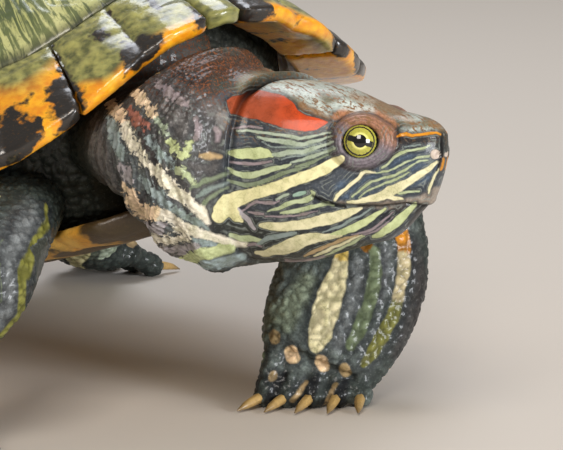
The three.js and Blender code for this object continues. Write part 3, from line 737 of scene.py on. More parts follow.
points = smoothed(body_points(skin_mesh), mesh_edges(skin_mesh), 6)
place_points(skin_mesh, points)
ahead, left, up = head_place(points).T
finer_where(skin_mesh, (ahead > -50) & (np.abs(left) < 27) & (points[:, 1] < 10) & (up > -36))
pairs = mesh_edges(skin_mesh)
points = body_points(skin_mesh)
ahead, left, up = head_place(points).T
on_neck = (ahead > -66) & (np.abs(left) < 28) & (points[:, 1] < 26) & (up > -40)
points = smoothed(points, pairs, 3, where=on_neck.astype(float))

# The markings are laid out on a flat drawing of the near side, in millimetres right of and above the pupil,
# as someone sees it who stands ahead of the animal's right shoulder; the far side mirrors it.
VIEW_TURN, VIEW_LIFT, VIEW_FAR = math.radians(-38), math.radians(10), 750.0
VIEW_RIGHT = np.array((math.cos(VIEW_TURN), math.sin(VIEW_TURN), 0.0))
VIEW_BACK = np.array((VIEW_RIGHT[1], -VIEW_RIGHT[0], math.tan(VIEW_LIFT))) * math.cos(VIEW_LIFT)
VIEW_UP = np.cross(VIEW_BACK, VIEW_RIGHT)
PUPIL_RIGHT, PUPIL_UP = 16.354, 17.292
right_eye = HEAD_CENTRE - EYE_SIDE * LEFTWARD
view_from = right_eye - PUPIL_RIGHT * VIEW_RIGHT - PUPIL_UP * VIEW_UP + VIEW_FAR * VIEW_BACK


def drawing_place(points):
    offset = points - view_from
    share = VIEW_FAR / -(offset @ VIEW_BACK)
    return (offset @ VIEW_RIGHT) * share - PUPIL_RIGHT, (offset @ VIEW_UP) * share - PUPIL_UP


def near_side(points):
    """The place on the near side that mirrors each place beyond the middle of the head."""
    beyond = np.maximum(head_place(points)[:, 1], 0)
    return points - 2 * beyond[:, None] * LEFTWARD


def stroke_reach(right, high, path):
    """Distance inside a drawn stroke whose points are (right, up, half width), below 0 outside it."""
    best = np.full(len(right), -99.0)
    for (x0, y0, w0), (x1, y1, w1) in zip(path, path[1:]):
        dx, dy = x1 - x0, y1 - y0
        t = np.clip(((right - x0) * dx + (high - y0) * dy) / max(dx * dx + dy * dy, 1e-9), 0, 1)
        gap = np.hypot(right - x0 - t * dx, high - y0 - t * dy)
        best = np.maximum(best, w0 + (w1 - w0) * t - gap)
    return best


# Form of the face: the lids stand round each eye, the mouth is a fine slit and the beak overhangs the jaw.
EYE_AXIS_AHEAD, EYE_AXIS_UP = 0.32, 0.17
LID_OPENING, LID_EDGE, LID_FOLD = 3.4, 6.3, 0.66
# Distance from the eye's axis and how far the lid stands out along it.
LID_PROFILE = (
    (0, 0.6), (2.9, 0.9), (3.25, 2.0), (3.4, 2.9), (3.7, 3.35), (4.2, 3.55), (4.8, 3.4), (5.3, 2.95),
    (5.8, 2.1), (6.2, 1.0), (6.5, -0.2), (7.2, -3), (9.5, -9),
)
# Distance ahead of the eyes and height of the mouth's line.
MOUTH_LINE = (
    (-8.6, -11.2), (-6, -12.7), (-3, -13.2), (0, -13.3), (5, -13.2), (8, -12.9), (10, -12.7), (12, -13.2),
    (13.4, -14.4),
)
NOSTRIL = (14.4, 2.6, -2.6)
# The lip of the neck's sheath stands 15.6 mm ahead of the shell's front edge.
SHEATH_AT = -15.6


def eye_axis(side):
    axis = EYE_AXIS_AHEAD * AHEAD + side * math.sqrt(1 - EYE_AXIS_AHEAD ** 2 - EYE_AXIS_UP ** 2) * LEFTWARD
    return axis + EYE_AXIS_UP * UPWARD


face = np.flatnonzero(on_neck)
spot = points[face]
lid_radius, lid_lift, lid_level = np.full(len(spot), 99.0), np.zeros(len(spot)), np.zeros(len(spot))
for side in (1, -1):
    centre, axis = HEAD_CENTRE + side * EYE_SIDE * LEFTWARD, eye_axis(side)
    offset = spot - centre
    out = offset @ axis
    around = offset - out[:, None] * axis
    lift, level = around @ UPWARD, around @ AHEAD
    # The opening is a little longer than high and the lids are fuller above.
    radius = np.hypot(level * np.where(level > 0, 0.97 - 0.13 * ease(3.6, 6.5, level), 1.0), lift * 1.04)
    profile = np.interp(radius, *np.array(LID_PROFILE).T)
    profile += 0.25 * ease(0, 5, lift) * ease(3.6, 4.4, radius) * (1 - ease(6, 8, radius))
    near = (out > -2) & (radius < 9)
    folds = np.sin(radius * 2 * math.pi / LID_FOLD + 1.4 * ripple(spot, 2.5, side))
    wrinkle = 0.11 * folds * ease(3.8, 4.3, radius) * (1 - ease(5.9, 6.3, radius))
    wrinkle -= 0.45 * hump(radius, LID_EDGE, 0.28)
    inside = radius < LID_OPENING
    raised = np.where(inside, profile, np.logaddexp(out * 2.2, profile * 2.2) / 2.2) + wrinkle
    blend = np.where(near, 1 - ease(7.5, 9, radius), 0)
    around_eye = near & (radius < lid_radius)
    lid_radius = np.where(around_eye, radius, lid_radius)
    lid_lift, lid_level = np.where(around_eye, lift, lid_lift), np.where(around_eye, level, lid_level)
    spot = spot + (blend * (raised - out))[:, None] * axis
points[face] = spot
head_spots = head_place(points)
ahead, left, up = head_spots.T
place_points(skin_mesh, points)
normals = read_points(skin_mesh, "normal")
shift = np.zeros(len(points))
below = np.interp(ahead, *np.array(MOUTH_LINE).T) - up
mouth_reach = ease(-9.0, -8.2, ahead) * (on_neck & (up > -26))
shift -= 0.8 * hump(below, 0, 0.36) * mouth_reach
shift -= 0.55 * ease(-0.1, 0.4, below) * (1 - ease(2.5, 7, below)) * mouth_reach * ease(-6, 4, ahead)
shift += 0.22 * hump(below, -1.1, 0.9) * mouth_reach
for side in (1, -1):
    # Each nostril is a pit with a fine groove and a low swelling round it.
    hole = np.linalg.norm(head_spots - np.array(NOSTRIL) * (1, side, 1), axis=1)
    pit = 0.35 * np.exp(-(hole / 0.6) ** 4) + 0.4 * hump(hole, 1.15, 0.2) - 0.22 * hump(hole, 1.6, 0.35)
    shift -= pit * on_neck
# The snout's flat top meets its side in a low ridge from the brow to the nostril.
ridge_height = np.interp(ahead, (5, 8, 12, 16), (3.2, 2.2, 1.9, 1.6))
ridge = hump(up - ridge_height, -0.4, 0.8) * ease(6, 9, ahead) * ease(1.5, 3, np.abs(left))
shift += 0.3 * ridge * on_neck

# Form of the neck: the sheath's lip stands round the skull, and behind it the skin lies in soft folds.
NECK_FOLD, NECK_CREASE, THROAT_FOLD = 4.4, 1.55, 9.5
behind = points[:, 1] - SHEATH_AT + 3.8 * (np.minimum(left, 0) / 16) ** 2
lip_strength = 0.3 + 0.7 * ease(-13, 1, up)
back = points[:, 1] + 19
shift += on_neck * 1.6 * lip_strength * ease(-0.3, 0.3, behind) * np.exp(-np.maximum(behind, 0) / 9)
shift -= on_neck * 1.1 * lip_strength * hump(behind, -0.7, 0.55)
sway, small_sway = np.zeros((2, len(points)))
sway[face], small_sway[face] = ripple(points[face], 13, 6), ripple(points[face], 5, 7)
# The neck's look fades out where it runs in under the shell.
neck_fade = on_neck * (1 - ease(21, 27, left)) * (1 - ease(18, 25, points[:, 1])) * ease(-65, -60, ahead)
loose = ease(1, 9, behind) * neck_fade
hanging = ease(-4, -20, up) * loose
wide_fold = np.sin((back + 2.6 * sway) * 2 * math.pi / NECK_FOLD)
fine_fold = np.sin((back + 1.8 * small_sway + sway) * 2 * math.pi / NECK_CREASE)
shift += loose * 0.45 * wide_fold * (0.4 + 0.6 * np.abs(sway))
shift += hanging * 1.15 * np.sin((back + 0.5 * up + 5 * sway) * 2 * math.pi / THROAT_FOLD)
shift += loose * 0.17 * fine_fold
shift += on_neck * (1 - loose) * 0.05 * small_sway


def pebbles(points, size):
    """Small rounded scales: 0 in the grooves between them and 1 on top, with each one's own number."""
    tops, tones = np.empty(len(points)), np.empty(len(points))
    for k, p in enumerate(points / size):
        gaps, seeds = noise.voronoi(Vector(p))
        tops[k] = gaps[1] - gaps[0]
        tones[k] = (seeds[0][0] * 12.9898 + seeds[0][1] * 78.233 + seeds[0][2] * 37.719) % 1.0
    return ease(0.02, 0.34, tops), tones


# Scales of the legs, tail and the skin in the openings, and the far finer ones of the neck.
LEG_SCALE, NECK_SCALE = 2.5, 1.15
x, y, z = to_shell(points).T
shell_scale, _, _ = plan_place(x, y)
hidden = (shell_scale < 0.7) & (z > 9)
scaly = np.flatnonzero(~on_neck & ~hidden)
scale_top, scale_tone = np.ones(len(points)), np.full(len(points), 0.5)
scale_top[scaly], scale_tone[scaly] = pebbles(points[scaly] * (1, 1, 1.25), LEG_SCALE)
grain = np.flatnonzero(on_neck & (behind > 0.5))
grain_top, grain_tone = pebbles(points[grain], NECK_SCALE)
shift[scaly] += 0.42 * (scale_top[scaly] - 0.6)
shift[grain] += 0.15 * (grain_top - 0.6) * ease(0.5, 5, behind[grain])
points = points + shift[:, None] * normals
points = clear_of_shell(points)
points[:, 2] = np.maximum(points[:, 2], 0.0)
place_points(skin_mesh, points)

# Colours of the skin, as hex: dark slate ground, sage and cream stripes, the red patch, and a pale painted
# highlight for the wet crown.
INKS = {
    "head_dark": "#474d54", "neck_dark": "#3d3835", "neck_mid": "#676462", "rose": "#a0685a",
    "rust": "#3a2418", "neck_blue": "#7f8d93", "neck_brown": "#4f3f3c", "snout_blue": "#56677a",
    "lid_grey": "#887d84", "brow": "#b07a58", "fold": "#352b2c", "lore_brown": "#4d3a33",
    "canthus_dark": "#2c2725", "beak": "#a39484", "jaw_black": "#1f1f24", "crown": "#77745f",
    "painted_crown_sheen": "#c9d3cb", "crown_brown": "#95704a", "sage": "#a7b3a0", "slate_pale": "#86928f",
    "leaf": "#b3bd97", "moss": "#818c74", "lime": "#c4cd9a", "butter": "#e2dbaa", "teal": "#93ad9e",
    "cream": "#ded7b0", "amber": "#d98f26", "mauve": "#93868a", "tan": "#b49a72", "black": "#131315",
    "nostril": "#c9b9ac", "neck_cream": "#e9e2cf", "amber_pale": "#f0cf74", "leg_sand": "#d2c299",
    "neck_peach": "#eed3b4", "peach": "#ffdcb0", "lilac": "#a9a3a8", "bluegrey": "#95a3a5",
    "olive": "#7f7e3e", "fern": "#7c8a6a", "amber_dark": "#96631f", "leg_dark": "#39413c",
    "leg_green": "#a6b397", "leg_grey": "#9a9ea0", "leg_slate": "#727c77", "leg_cream": "#fff3c4",
    "trunk": "#3c3f38", "red": "#ca4612", "red_pale": "#a04a2c",
}
INKS = {name: np.array(linear(colour)[:3]) for name, colour in INKS.items()}
# The strokes of the head, neck and near leg were picked in pixels of the main view: across from its
# left edge, down from its top, and the half width there. The functions below turn them to millimetres.
PIXELS_PER_MM = 4.8
PUPIL_ACROSS, PUPIL_DOWN = 360, 142


def stroke_in_mm(path):
    """Each point right of and above the pupil to a tenth, with its half width if it has one."""
    return [
        (round((across - PUPIL_ACROSS) / PIXELS_PER_MM, 1), round((PUPIL_DOWN - down) / PIXELS_PER_MM, 1),
         *(round(half / PIXELS_PER_MM, 2) for half in halves))
        for across, down, *halves in path
    ]


def washes_in_mm(washes):
    return [
        (ink, round(soft / PIXELS_PER_MM, 2), strength, stroke_in_mm(path))
        for ink, soft, strength, path in washes
    ]


def stripes_in_mm(stripes):
    return [(ink, stroke_in_mm(path)) for ink, path in stripes]


# Soft patches of ground colour: ink, softness, strength and stroke, in the order in which they lie.
FACE_WASHES = (
    ("head_dark", 3, 1, [(236, 150, 60), (300, 170, 60), (400, 190, 55)]),
    ("neck_mid", 6, 1, [(140, 60, 60), (150, 150, 60), (170, 230, 40), (200, 120, 27)]),
    ("neck_dark", 7, 0.8, [(168, 62, 10), (190, 72, 15), (205, 90, 12)]),
    ("rust", 7, 0.8, [(170, 56, 8), (190, 60, 11), (225, 66, 13), (262, 70, 8)]),
    ("black", 5, 0.75, [(178, 74, 6), (192, 80, 7), (206, 82, 4)]),
    ("neck_blue", 6, 0.5, [(112, 130, 9), (140, 185, 12), (180, 232, 14), (235, 262, 10)]),
    ("neck_brown", 4, 0.8, [(140, 128, 5), (148, 150, 6), (163, 172, 4), (140, 205, 3), (150, 222, 4)]),
    ("snout_blue", 3, 1, [(345, 190, 10), (372, 190, 14), (400, 172, 18), (425, 168, 14)]),
    ("brow", 2, 1, [(336, 116, 4), (352, 112, 9), (372, 114, 9), (388, 124, 9), (392, 135, 4)]),
    ("lore_brown", 2, 0.9, [(386, 146, 7), (392, 151, 5)]),
    ("canthus_dark", 1.2, 0.95, [(401, 141, 3.2), (418, 140, 3.4), (437, 138.5, 3)]),
    ("beak", 2, 0.95, [(338, 203, 1.6), (350, 204.6, 2), (367, 205, 3), (385, 205, 4.5), (401, 205, 6.5),
        (418, 203, 6), (430, 198, 7), (436, 192, 5)]),
    ("jaw_black", 2, 0.85, [(385, 217, 4), (398, 212, 7), (408, 208, 5), (424, 209, 6), (421, 217, 6)]),
    ("crown", 4, 1, [(248, 84, 11), (275, 84, 14), (300, 90, 14), (325, 96, 13), (345, 92, 12),
        (378, 94, 14), (400, 108, 13), (425, 122, 11), (440, 128, 6)]),
    # The pale crown washes below are painted highlights: the blue-white sheen of the wet skin over the crown,
    # the upper lids and the snout's ridge.
    ("painted_crown_sheen", 5, 0.85, [(262, 88, 5), (285, 86, 8), (302, 88, 9), (316, 103, 7), (325, 112, 5)]),
    ("painted_crown_sheen", 4, 0.8, [(345, 103, 4), (357, 107, 5.5), (372, 110, 3)]),
    ("painted_crown_sheen", 3, 0.9, [(404, 130, 2.6), (415, 130.5, 2.8), (428, 130, 2.4), (437, 131, 1.4)]),
    ("painted_crown_sheen", 4, 0.65, [(312, 84, 5), (335, 88, 6), (355, 94, 5), (372, 101, 4)]),
    ("painted_crown_sheen", 3, 0.8, [(331, 107, 3.6), (342, 105, 5), (352, 107, 4)]),
    ("painted_crown_sheen", 3, 0.7, [(404, 116, 4), (418, 118, 4.5)]),
    ("crown_brown", 3, 0.7, [(431, 121, 3.6), (441, 127, 4)]),
    ("crown_brown", 3, 0.8, [(300, 104, 3), (316, 112, 3.5), (327, 118, 3)]),
    ("crown_brown", 3, 0.6, [(352, 96, 3), (378, 102, 4), (395, 112, 4), (412, 122, 3.4)]),
)
# Stripes: ink and stroke. Those of the loose skin and of the leg have softer edges.
FACE_STRIPES = (
    # under the red patch
    ("mauve", [(232, 128.5, 1), (240, 127, 1.2), (252, 126.5, 1.2), (262, 127.6, 0.8)]),
    ("sage", [(236, 130.6, 1), (252.5, 130.8, 1.5), (266, 132.5, 1.6), (279, 134.4, 1.6),
        (290, 136.9, 1.5), (300, 138.1, 1.5), (312.5, 136.3, 1.4), (320, 134.4, 1.3), (330, 132, 0.9)]),
    ("sage", [(258, 136.5, 1), (266.3, 139.4, 1.8), (275, 140, 2.2), (283.8, 141.3, 2.4),
        (295, 143.3, 2.4), (305, 143.8, 2.2), (312.5, 141.5, 2), (320, 139.4, 1.6), (331, 136, 1.1)]),
    ("slate_pale", [(262, 142, 0.7), (270.1, 146.3, 0.9), (282.2, 147.5, 1), (292.5, 148, 1),
        (304.5, 147.3, 1), (316.6, 143.9, 0.9), (331, 139.8, 0.7)]),
    ("sage", [(273.5, 155, 1.8), (283.8, 153.8, 2.5), (295, 152.6, 2.5), (302.5, 151.9, 2.4),
        (312.5, 149, 2.2), (320, 146, 2), (333, 142, 1.3)]),
    ("slate_pale", [(281, 159.5, 0.7), (293, 157, 1), (305, 154.6, 1), (317, 151.3, 0.9),
        (334, 146.3, 0.7)]),
    ("sage", [(290, 163, 1), (298.8, 160.3, 1.5), (306.3, 158.1, 1.7), (315, 156, 1.6),
        (322.5, 152.8, 1.5), (335, 148.3, 1.1)]),
    ("moss", [(296, 166.5, 0.8), (304, 164.5, 1.6), (312, 162.5, 1.5), (320, 159, 1.1), (329, 155, 0.7)]),
    ("mauve", [(229, 162.5, 1), (235, 163.1, 1.6), (245, 163.8, 1.8), (255, 163.1, 1.8),
        (263, 162.8, 1.4), (272, 161.5, 0.7)]),
    ("leaf", [(228, 168.6, 1.2), (235, 172.5, 2.4), (242.5, 175.4, 3), (250, 175.4, 3), (260, 172.5, 3),
        (268.8, 170, 2.8), (277.5, 168.1, 2.5), (285, 166.4, 2), (291, 164.5, 1)]),
    ("moss", [(227, 179.6, 1.4), (237.5, 183.8, 2), (246.3, 185.2, 2.1), (256.3, 183.1, 2.1),
        (266.3, 180, 2), (275, 176.9, 1.9), (282.5, 173.3, 1.8), (292.5, 170.5, 1.6), (300, 168.8, 1.4),
        (309, 165.5, 0.8)]),
    # short bar
    ("lime", [(230, 153, 2.6), (236, 153.6, 4.4), (243.4, 154, 5.1), (251.2, 153.6, 5.4),
        (259.8, 152.4, 5.3), (266.7, 153.6, 4.2), (273, 157.4, 1)]),
    # long cheek stripe
    ("butter", [(342, 158.5, 3.6), (336, 161.5, 5), (326.1, 168, 5.6), (316, 173, 6), (305, 176.9, 6),
        (294, 180.5, 6), (283, 185, 6), (272, 188.8, 5.8), (260, 192, 5.8), (248, 195.5, 6.4),
        (238, 198, 7.6), (229, 203, 9), (222, 211, 9), (219, 216, 7)]),
    ("butter", [(231, 209, 7.5), (236, 217, 5), (241, 221, 2)]),
    # loop at the corner of the mouth
    ("mauve", [(242, 210, 1), (250, 205, 1.3), (257, 202.7, 1.5), (266, 202.8, 1.5), (274, 202.8, 1.4),
        (279, 200, 0.9)]),
    ("sage", [(276, 199, 1.1), (282, 196.6, 1.5), (288, 194.3, 1)]),
    ("leaf", [(268, 211, 0.9), (278.8, 208.8, 1.8), (285, 204.6, 2.2), (292.5, 202.3, 2.4),
        (300, 201.1, 2.4), (306.3, 199.4, 2.4), (312, 197, 2.3), (314, 193.5, 1.8), (311, 191, 1)]),
    ("teal", [(294, 195.2, 1.6), (299, 193.6, 2.3), (304.5, 192.2, 1.8)]),
    ("leaf", [(281, 213.6, 0.9), (287.5, 212.3, 1.8), (293.8, 211.1, 2), (302.5, 208.8, 2.1),
        (311.3, 206.6, 2.1), (320, 205, 2), (328, 204, 1.7), (333.5, 205.4, 1)]),
    ("mauve", [(266, 216.6, 0.8), (281.3, 217, 1), (295, 215.6, 1), (306, 213.6, 0.8),
        (318, 210.6, 0.6)]),
    ("lilac", [(237.5, 208, 1.6), (243, 215, 2.4), (249, 221.5, 2.4), (253.8, 228.5, 1.8)]),
    ("mauve", [(248, 211.5, 1.1), (256, 213.4, 1.5), (264, 213.6, 1)]),
    # mouth stripe from the nostril
    ("cream", [(436.5, 162, 1.4), (430, 167.3, 2.5), (422.5, 172.5, 3), (415, 177.5, 3.4),
        (405, 183.6, 3.9), (396.3, 188.3, 4.6), (388.8, 192.6, 5.6), (382.5, 195.6, 5),
        (373.8, 198.2, 3.8), (365, 199.8, 2.8), (355, 201.3, 1.8), (347, 202, 0.9)]),
    ("cream", [(389, 196.6, 3), (395, 198.6, 2), (402, 198.8, 1)]),
    # in the dark loop
    ("leaf", [(399, 193.2, 1), (405, 192, 1.2), (413, 191.4, 1.2), (420, 191.6, 0.8)]),
    # under the eye
    ("cream", [(335, 200, 1.5), (337.5, 196.3, 2.1), (342.5, 191.3, 2.1), (348.8, 186.3, 2),
        (355, 181.9, 1.9), (358.8, 177.5, 1.8), (361.6, 173.9, 1.9), (365, 172, 1.5), (371.3, 172.3, 1.2),
        (376, 172.8, 0.9)]),
    ("leaf", [(376, 173, 0.9), (386.3, 171.3, 1), (395, 168.1, 1.1), (400, 165, 1.2), (407.5, 161.3, 1.2),
        (415, 158.8, 1.1), (422.5, 157.5, 1), (429, 156.6, 0.7)]),
    ("leaf", [(352, 196.6, 0.8), (360, 190, 1), (366.3, 185, 1.1), (371.3, 181.4, 1.1), (380, 179.2, 1.2),
        (387.5, 177.3, 1.2), (395, 174.9, 1.2), (400, 171.9, 1.2), (407.5, 168.6, 1.1),
        (412.5, 164.8, 1.1), (420, 161.3, 1), (428, 159.6, 0.7)]),
    ("leaf", [(358, 197.6, 0.7), (366.3, 191.9, 0.9), (372.5, 188.1, 1), (380, 185, 1), (387.5, 183, 1),
        (395, 180, 1), (402, 176.3, 0.9), (409, 172.4, 0.6)]),
    ("leaf", [(382, 168, 0.9), (388.8, 162.5, 1.3), (393.8, 157.6, 1.4), (400, 153.8, 1.5),
        (407.5, 150.8, 1.4), (415, 149.9, 1.4), (422.5, 148.6, 1.2), (430, 145.4, 0.8)]),
    ("slate_pale", [(404, 146.6, 0.7), (412, 145.2, 1), (421, 144.6, 0.8)]),
    # above the nostril
    ("amber", [(397.5, 136.6, 1.2), (401, 134.6, 1.7), (406, 134, 1.7), (412.5, 135.6, 1.4),
        (420, 134.8, 1.3), (428.8, 133.6, 1.3), (436.3, 133, 1.2), (441.6, 134.6, 0.8)]),
    ("amber", [(443.4, 158.4, 0.9), (442.6, 164.5, 1.1), (441.2, 170.5, 0.8)]),
    # beak front
    ("cream", [(438.4, 170, 1), (435, 175.5, 1.3), (432.4, 181.3, 1.4), (430, 187.5, 1.4),
        (428.6, 192.8, 1)]),
    # lower jaw
    ("cream", [(261, 225.4, 2), (268, 225.8, 3.4), (277, 226.3, 4.2), (287.5, 226.3, 4.8),
        (300, 225, 5.2), (312.5, 222.8, 5.5), (323, 220, 6), (334.4, 217.2, 5.8), (344, 214.6, 4.8),
        (353, 211, 3.6), (362, 207.8, 1.3)]),
    ("slate_pale", [(322, 232, 0.7), (330, 229.6, 1.2), (337.5, 227.5, 1.5), (348.8, 221.3, 1.5),
        (358.8, 216.3, 1.3), (367.5, 211.3, 1.1), (373, 208, 0.7)]),
    ("lime", [(326, 236.4, 1), (334, 234.4, 2.2), (342.5, 232, 3.2), (355, 227.5, 4), (363.8, 222.5, 3.4),
        (372.5, 217.4, 2.8), (380, 212.5, 2.2), (386, 208, 1)]),
    ("mauve", [(352, 235, 0.7), (362, 232.8, 1.2), (371.3, 229.6, 1.5), (380, 223.8, 1.3),
        (387, 217.5, 1.1), (393, 212, 0.6)]),
    ("mauve", [(364, 234.5, 0.7), (376, 231, 1), (385, 225, 0.9), (393, 217, 0.6)]),
    # chin
    ("lime", [(373, 236.6, 1.6), (380, 234, 3), (388, 229.2, 4.2), (396.3, 222.6, 4.5), (403.8, 216, 4.2),
        (410, 209.8, 3.3), (415.5, 203.8, 1.8)]),
    # throat
    ("cream", [(256, 252.6, 1.8), (264, 253.4, 2.8), (272, 251.6, 4), (282, 248.4, 5.8), (293, 244.8, 7),
        (305, 240.2, 6.3), (317.5, 237.4, 4.4), (330, 236.4, 2.9), (342, 235.6, 1.2)]),
    ("leaf", [(231, 234.6, 2), (238, 237.4, 3), (246, 238.6, 3.1), (255, 238.8, 2.9), (261, 240, 1.4)]),
    ("slate_pale", [(257, 244.6, 1.4), (262, 241.4, 2.4), (269, 238.2, 2.8), (278, 236, 2.8),
        (287, 234.6, 2.3), (296, 233.2, 1.3)]),
    ("mauve", [(247, 245.4, 1), (256, 243.6, 1.6), (262, 246, 1)]),
    ("tan", [(304, 256.5, 0.8), (311, 252.8, 1.5), (318, 249.8, 1.7), (327.5, 246.6, 1.6),
        (336, 242.5, 1.6), (346, 238.6, 1.2), (358, 235.4, 0.7)]),
    ("cream", [(314, 256, 0.8), (322, 252.4, 1.4), (331, 248.4, 1.4), (342.5, 243.6, 1.3),
        (352.5, 238.8, 1.1), (362, 235.4, 0.6)]),
    ("leaf", [(322, 257, 0.7), (331, 252.4, 1.3), (342.5, 247.5, 1.5), (355, 241.3, 1.4),
        (364, 236, 0.8)]),
    ("mauve", [(285, 260, 1.2), (294, 261.8, 2.2), (305, 261.8, 2.4), (317.5, 259.4, 2),
        (327, 255.4, 1)]),
    # nostril and the dark line down the snout
    ("nostril", [(434.9, 154.6, 4.4), (435.3, 154.8, 4.4)]),
    ("black", [(441.4, 134.5, 0.9), (441.9, 147.5, 1.3), (441, 156.5, 1.5), (438.6, 165, 1.1),
        (436.4, 172, 0.6)]),
    ("nostril", [(446.4, 154.6, 2.2), (446.8, 155, 2.2)]),
    ("black", [(424.8, 206.5, 2.4), (420.5, 212, 3.6), (414.5, 219, 2.4), (408, 226, 1)]),
    # mouth: a black line along the slit, as painted shade
    ("black", [(319, 196.5, 0.4), (326, 201, 0.6), (335, 205, 0.7), (345, 206.6, 0.8)]),
)
NECK_STRIPES = (
    # loose skin at the side of the neck
    ("neck_peach", [(99, 96, 4), (104, 99.5, 5.4), (111.7, 105, 5.8), (119, 113.5, 5.8),
        (124, 122, 5.6)]),
    ("neck_cream", [(124, 122, 5.6), (126.5, 133, 6.2), (131.7, 143.3, 5.6), (138.3, 153.3, 4.2),
        (143.3, 163.3, 2)]),
    ("neck_peach", [(132, 87, 3.6), (136, 93, 5.2), (141.7, 100, 5.4), (148.3, 108.3, 5),
        (154, 116.5, 3.8)]),
    ("sage", [(154, 116.5, 3.8), (161.7, 126.7, 3), (168, 135, 1.8)]),
    ("rose", [(131, 110, 3), (134, 117, 4.6), (139, 123, 3.4), (146, 124, 3), (149, 130, 1.6)]),
    ("bluegrey", [(109, 118, 3.4), (112, 126, 4.8), (116.7, 141.7, 5), (121.7, 156.7, 3.6)]),
    ("lilac", [(121, 164, 3.6), (126.7, 173, 5.4), (131, 182, 4)]),
    ("bluegrey", [(147, 136, 2.2), (152, 146, 3.4), (160, 153, 3.2), (168, 160, 2.6), (176, 168, 2.4)]),
    ("leaf", [(176, 168, 2.4), (183, 173, 3.4), (190, 178.5, 3.2), (197, 184, 1.6)]),
    # small forked mark
    ("lime", [(170, 140.8, 2.4), (174, 148, 3.8), (178.5, 154.5, 4), (182.5, 155.5, 4), (187, 149.5, 3.8),
        (190, 143, 3)]),
    ("neck_cream", [(149, 164, 2), (155, 170, 5), (161.7, 176.7, 6), (170, 186.7, 6.5),
        (181.7, 196.7, 6.5), (193.3, 205, 6), (201.7, 213.3, 5), (209, 223, 2.6)]),
    ("bluegrey", [(142, 179, 2.6), (147, 185.5, 4.8), (156.7, 193.3, 5.4), (165, 203, 4.2),
        (171, 209, 2)]),
    ("neck_peach", [(127, 187, 3.2), (131.7, 196.7, 5.8), (138.3, 208, 6.4), (148.3, 214, 6),
        (159, 213.6, 6)]),
    ("neck_cream", [(159, 213.6, 6), (170, 218.3, 5.8), (181.7, 226.7, 5.6), (195, 231.7, 5.2),
        (211.7, 236.7, 4.6), (228.3, 241.3, 4), (245, 244.6, 2.6)]),
    ("slate_pale", [(171, 207.5, 2), (179, 212, 3.4), (188.3, 218, 3.6), (199, 223.4, 3.2),
        (208, 229, 1.6)]),
    ("lilac", [(148, 226, 3.4), (156.7, 229.5, 5), (165, 227.5, 3.6)]),
    ("neck_cream", [(152, 237, 2.6), (160, 239.4, 4.6), (170, 241.5, 5), (181.7, 239, 3.8),
        (190, 240, 1.6)]),
    ("lilac", [(163, 249, 3), (172, 250.6, 4.6), (183, 249.6, 4.8), (195, 246.8, 3.4)]),
    ("lime", [(180, 260, 3), (190, 258.2, 5.8), (203.3, 255, 6.8), (218.3, 250.4, 6.4),
        (231.7, 246.8, 4)]),
    ("bluegrey", [(201, 266, 4), (214, 264, 5.4), (228.3, 261.4, 5.4), (243, 256, 3.6)]),
    ("bluegrey", [(192, 240, 1.6), (204, 243.4, 3), (216, 245, 2.2)]),
    ("moss", [(193.3, 187, 1.2), (205, 181.7, 2), (218.3, 176.7, 2), (229, 173.2, 1.3)]),
    ("slate_pale", [(198.3, 196.7, 1.2), (205, 192, 2), (211.7, 188.3, 2), (220, 185, 1.9),
        (229, 181.6, 1.2)]),
    ("moss", [(203.3, 205, 1.2), (211.7, 196.7, 2.2), (221.7, 190, 2), (228, 187, 1.2)]),
    ("tan", [(200, 155, 2.4), (206, 155.4, 3.8), (213, 156.4, 3.6), (221, 157, 2)]),
    ("tan", [(148, 61, 3), (151.7, 65, 4.4), (155, 70, 3)]),
    ("mauve", [(160, 84, 3.6), (167, 91, 4.4), (176, 98, 4.8), (186, 103, 3.6)]),
    ("mauve", [(196, 118, 2), (199, 128, 3), (198, 139, 2)]),
    ("mauve", [(215, 128, 2), (219, 133, 3), (217, 141, 2)]),
)
# Outline of the red patch behind the eye.
RED_PATCH = (
    (226.6, 99.8), (230.5, 113.6), (236.5, 114.4), (243.4, 117), (256.3, 119.6), (270, 123), (282, 127.4),
    (292.5, 130), (305.4, 131.7), (316.6, 129), (325.2, 124.8), (328.5, 121.3), (318.3, 117.9),
    (304.5, 114.4), (297.7, 109.3), (292.5, 101.5), (283.9, 95.5), (273.5, 92.9), (259.8, 89.5),
    (252, 89.5), (243.4, 94.6), (232.2, 96.4),
)
LEG_WASHES = (
    ("leg_slate", 4, 1, [(330, 250, 90), (320, 330, 90), (330, 400, 90)]),
    ("leg_dark", 7, 0.7, [(405, 240, 9), (412, 280, 9), (400, 330, 9), (380, 380, 9)]),
    ("fold", 5, 0.7, [(414, 245, 7), (420, 285, 8), (411, 325, 9), (398, 355, 8)]),
    ("leg_green", 6, 0.8, [(306, 282, 9), (292, 305, 11), (285, 324, 9)]),
    ("leg_green", 7, 0.6, [(276, 310, 8), (268, 335, 8)]),
    ("leg_grey", 5, 0.7, [(385, 250, 7), (384, 275, 7), (378, 300, 6)]),
    ("leg_grey", 5, 0.6, [(358, 262, 8), (356, 290, 9), (345, 320, 9), (338, 345, 7)]),
    # Painted shade: the foot is darkened towards the floor.
    ("leg_dark", 7, 0.8, [(258, 384, 12), (300, 394, 16), (345, 396, 18), (372, 380, 10)]),
    ("black", 3, 0.95, [(258, 374, 3), (252, 392, 5)]),
    ("black", 3, 0.95, [(285, 374, 4), (276, 388, 6), (270, 402, 7)]),
    ("black", 3, 0.95, [(316, 378, 5), (310, 394, 7), (304, 412, 8)]),
    ("black", 3, 0.95, [(345, 382, 5), (341, 396, 7), (338, 412, 8)]),
)
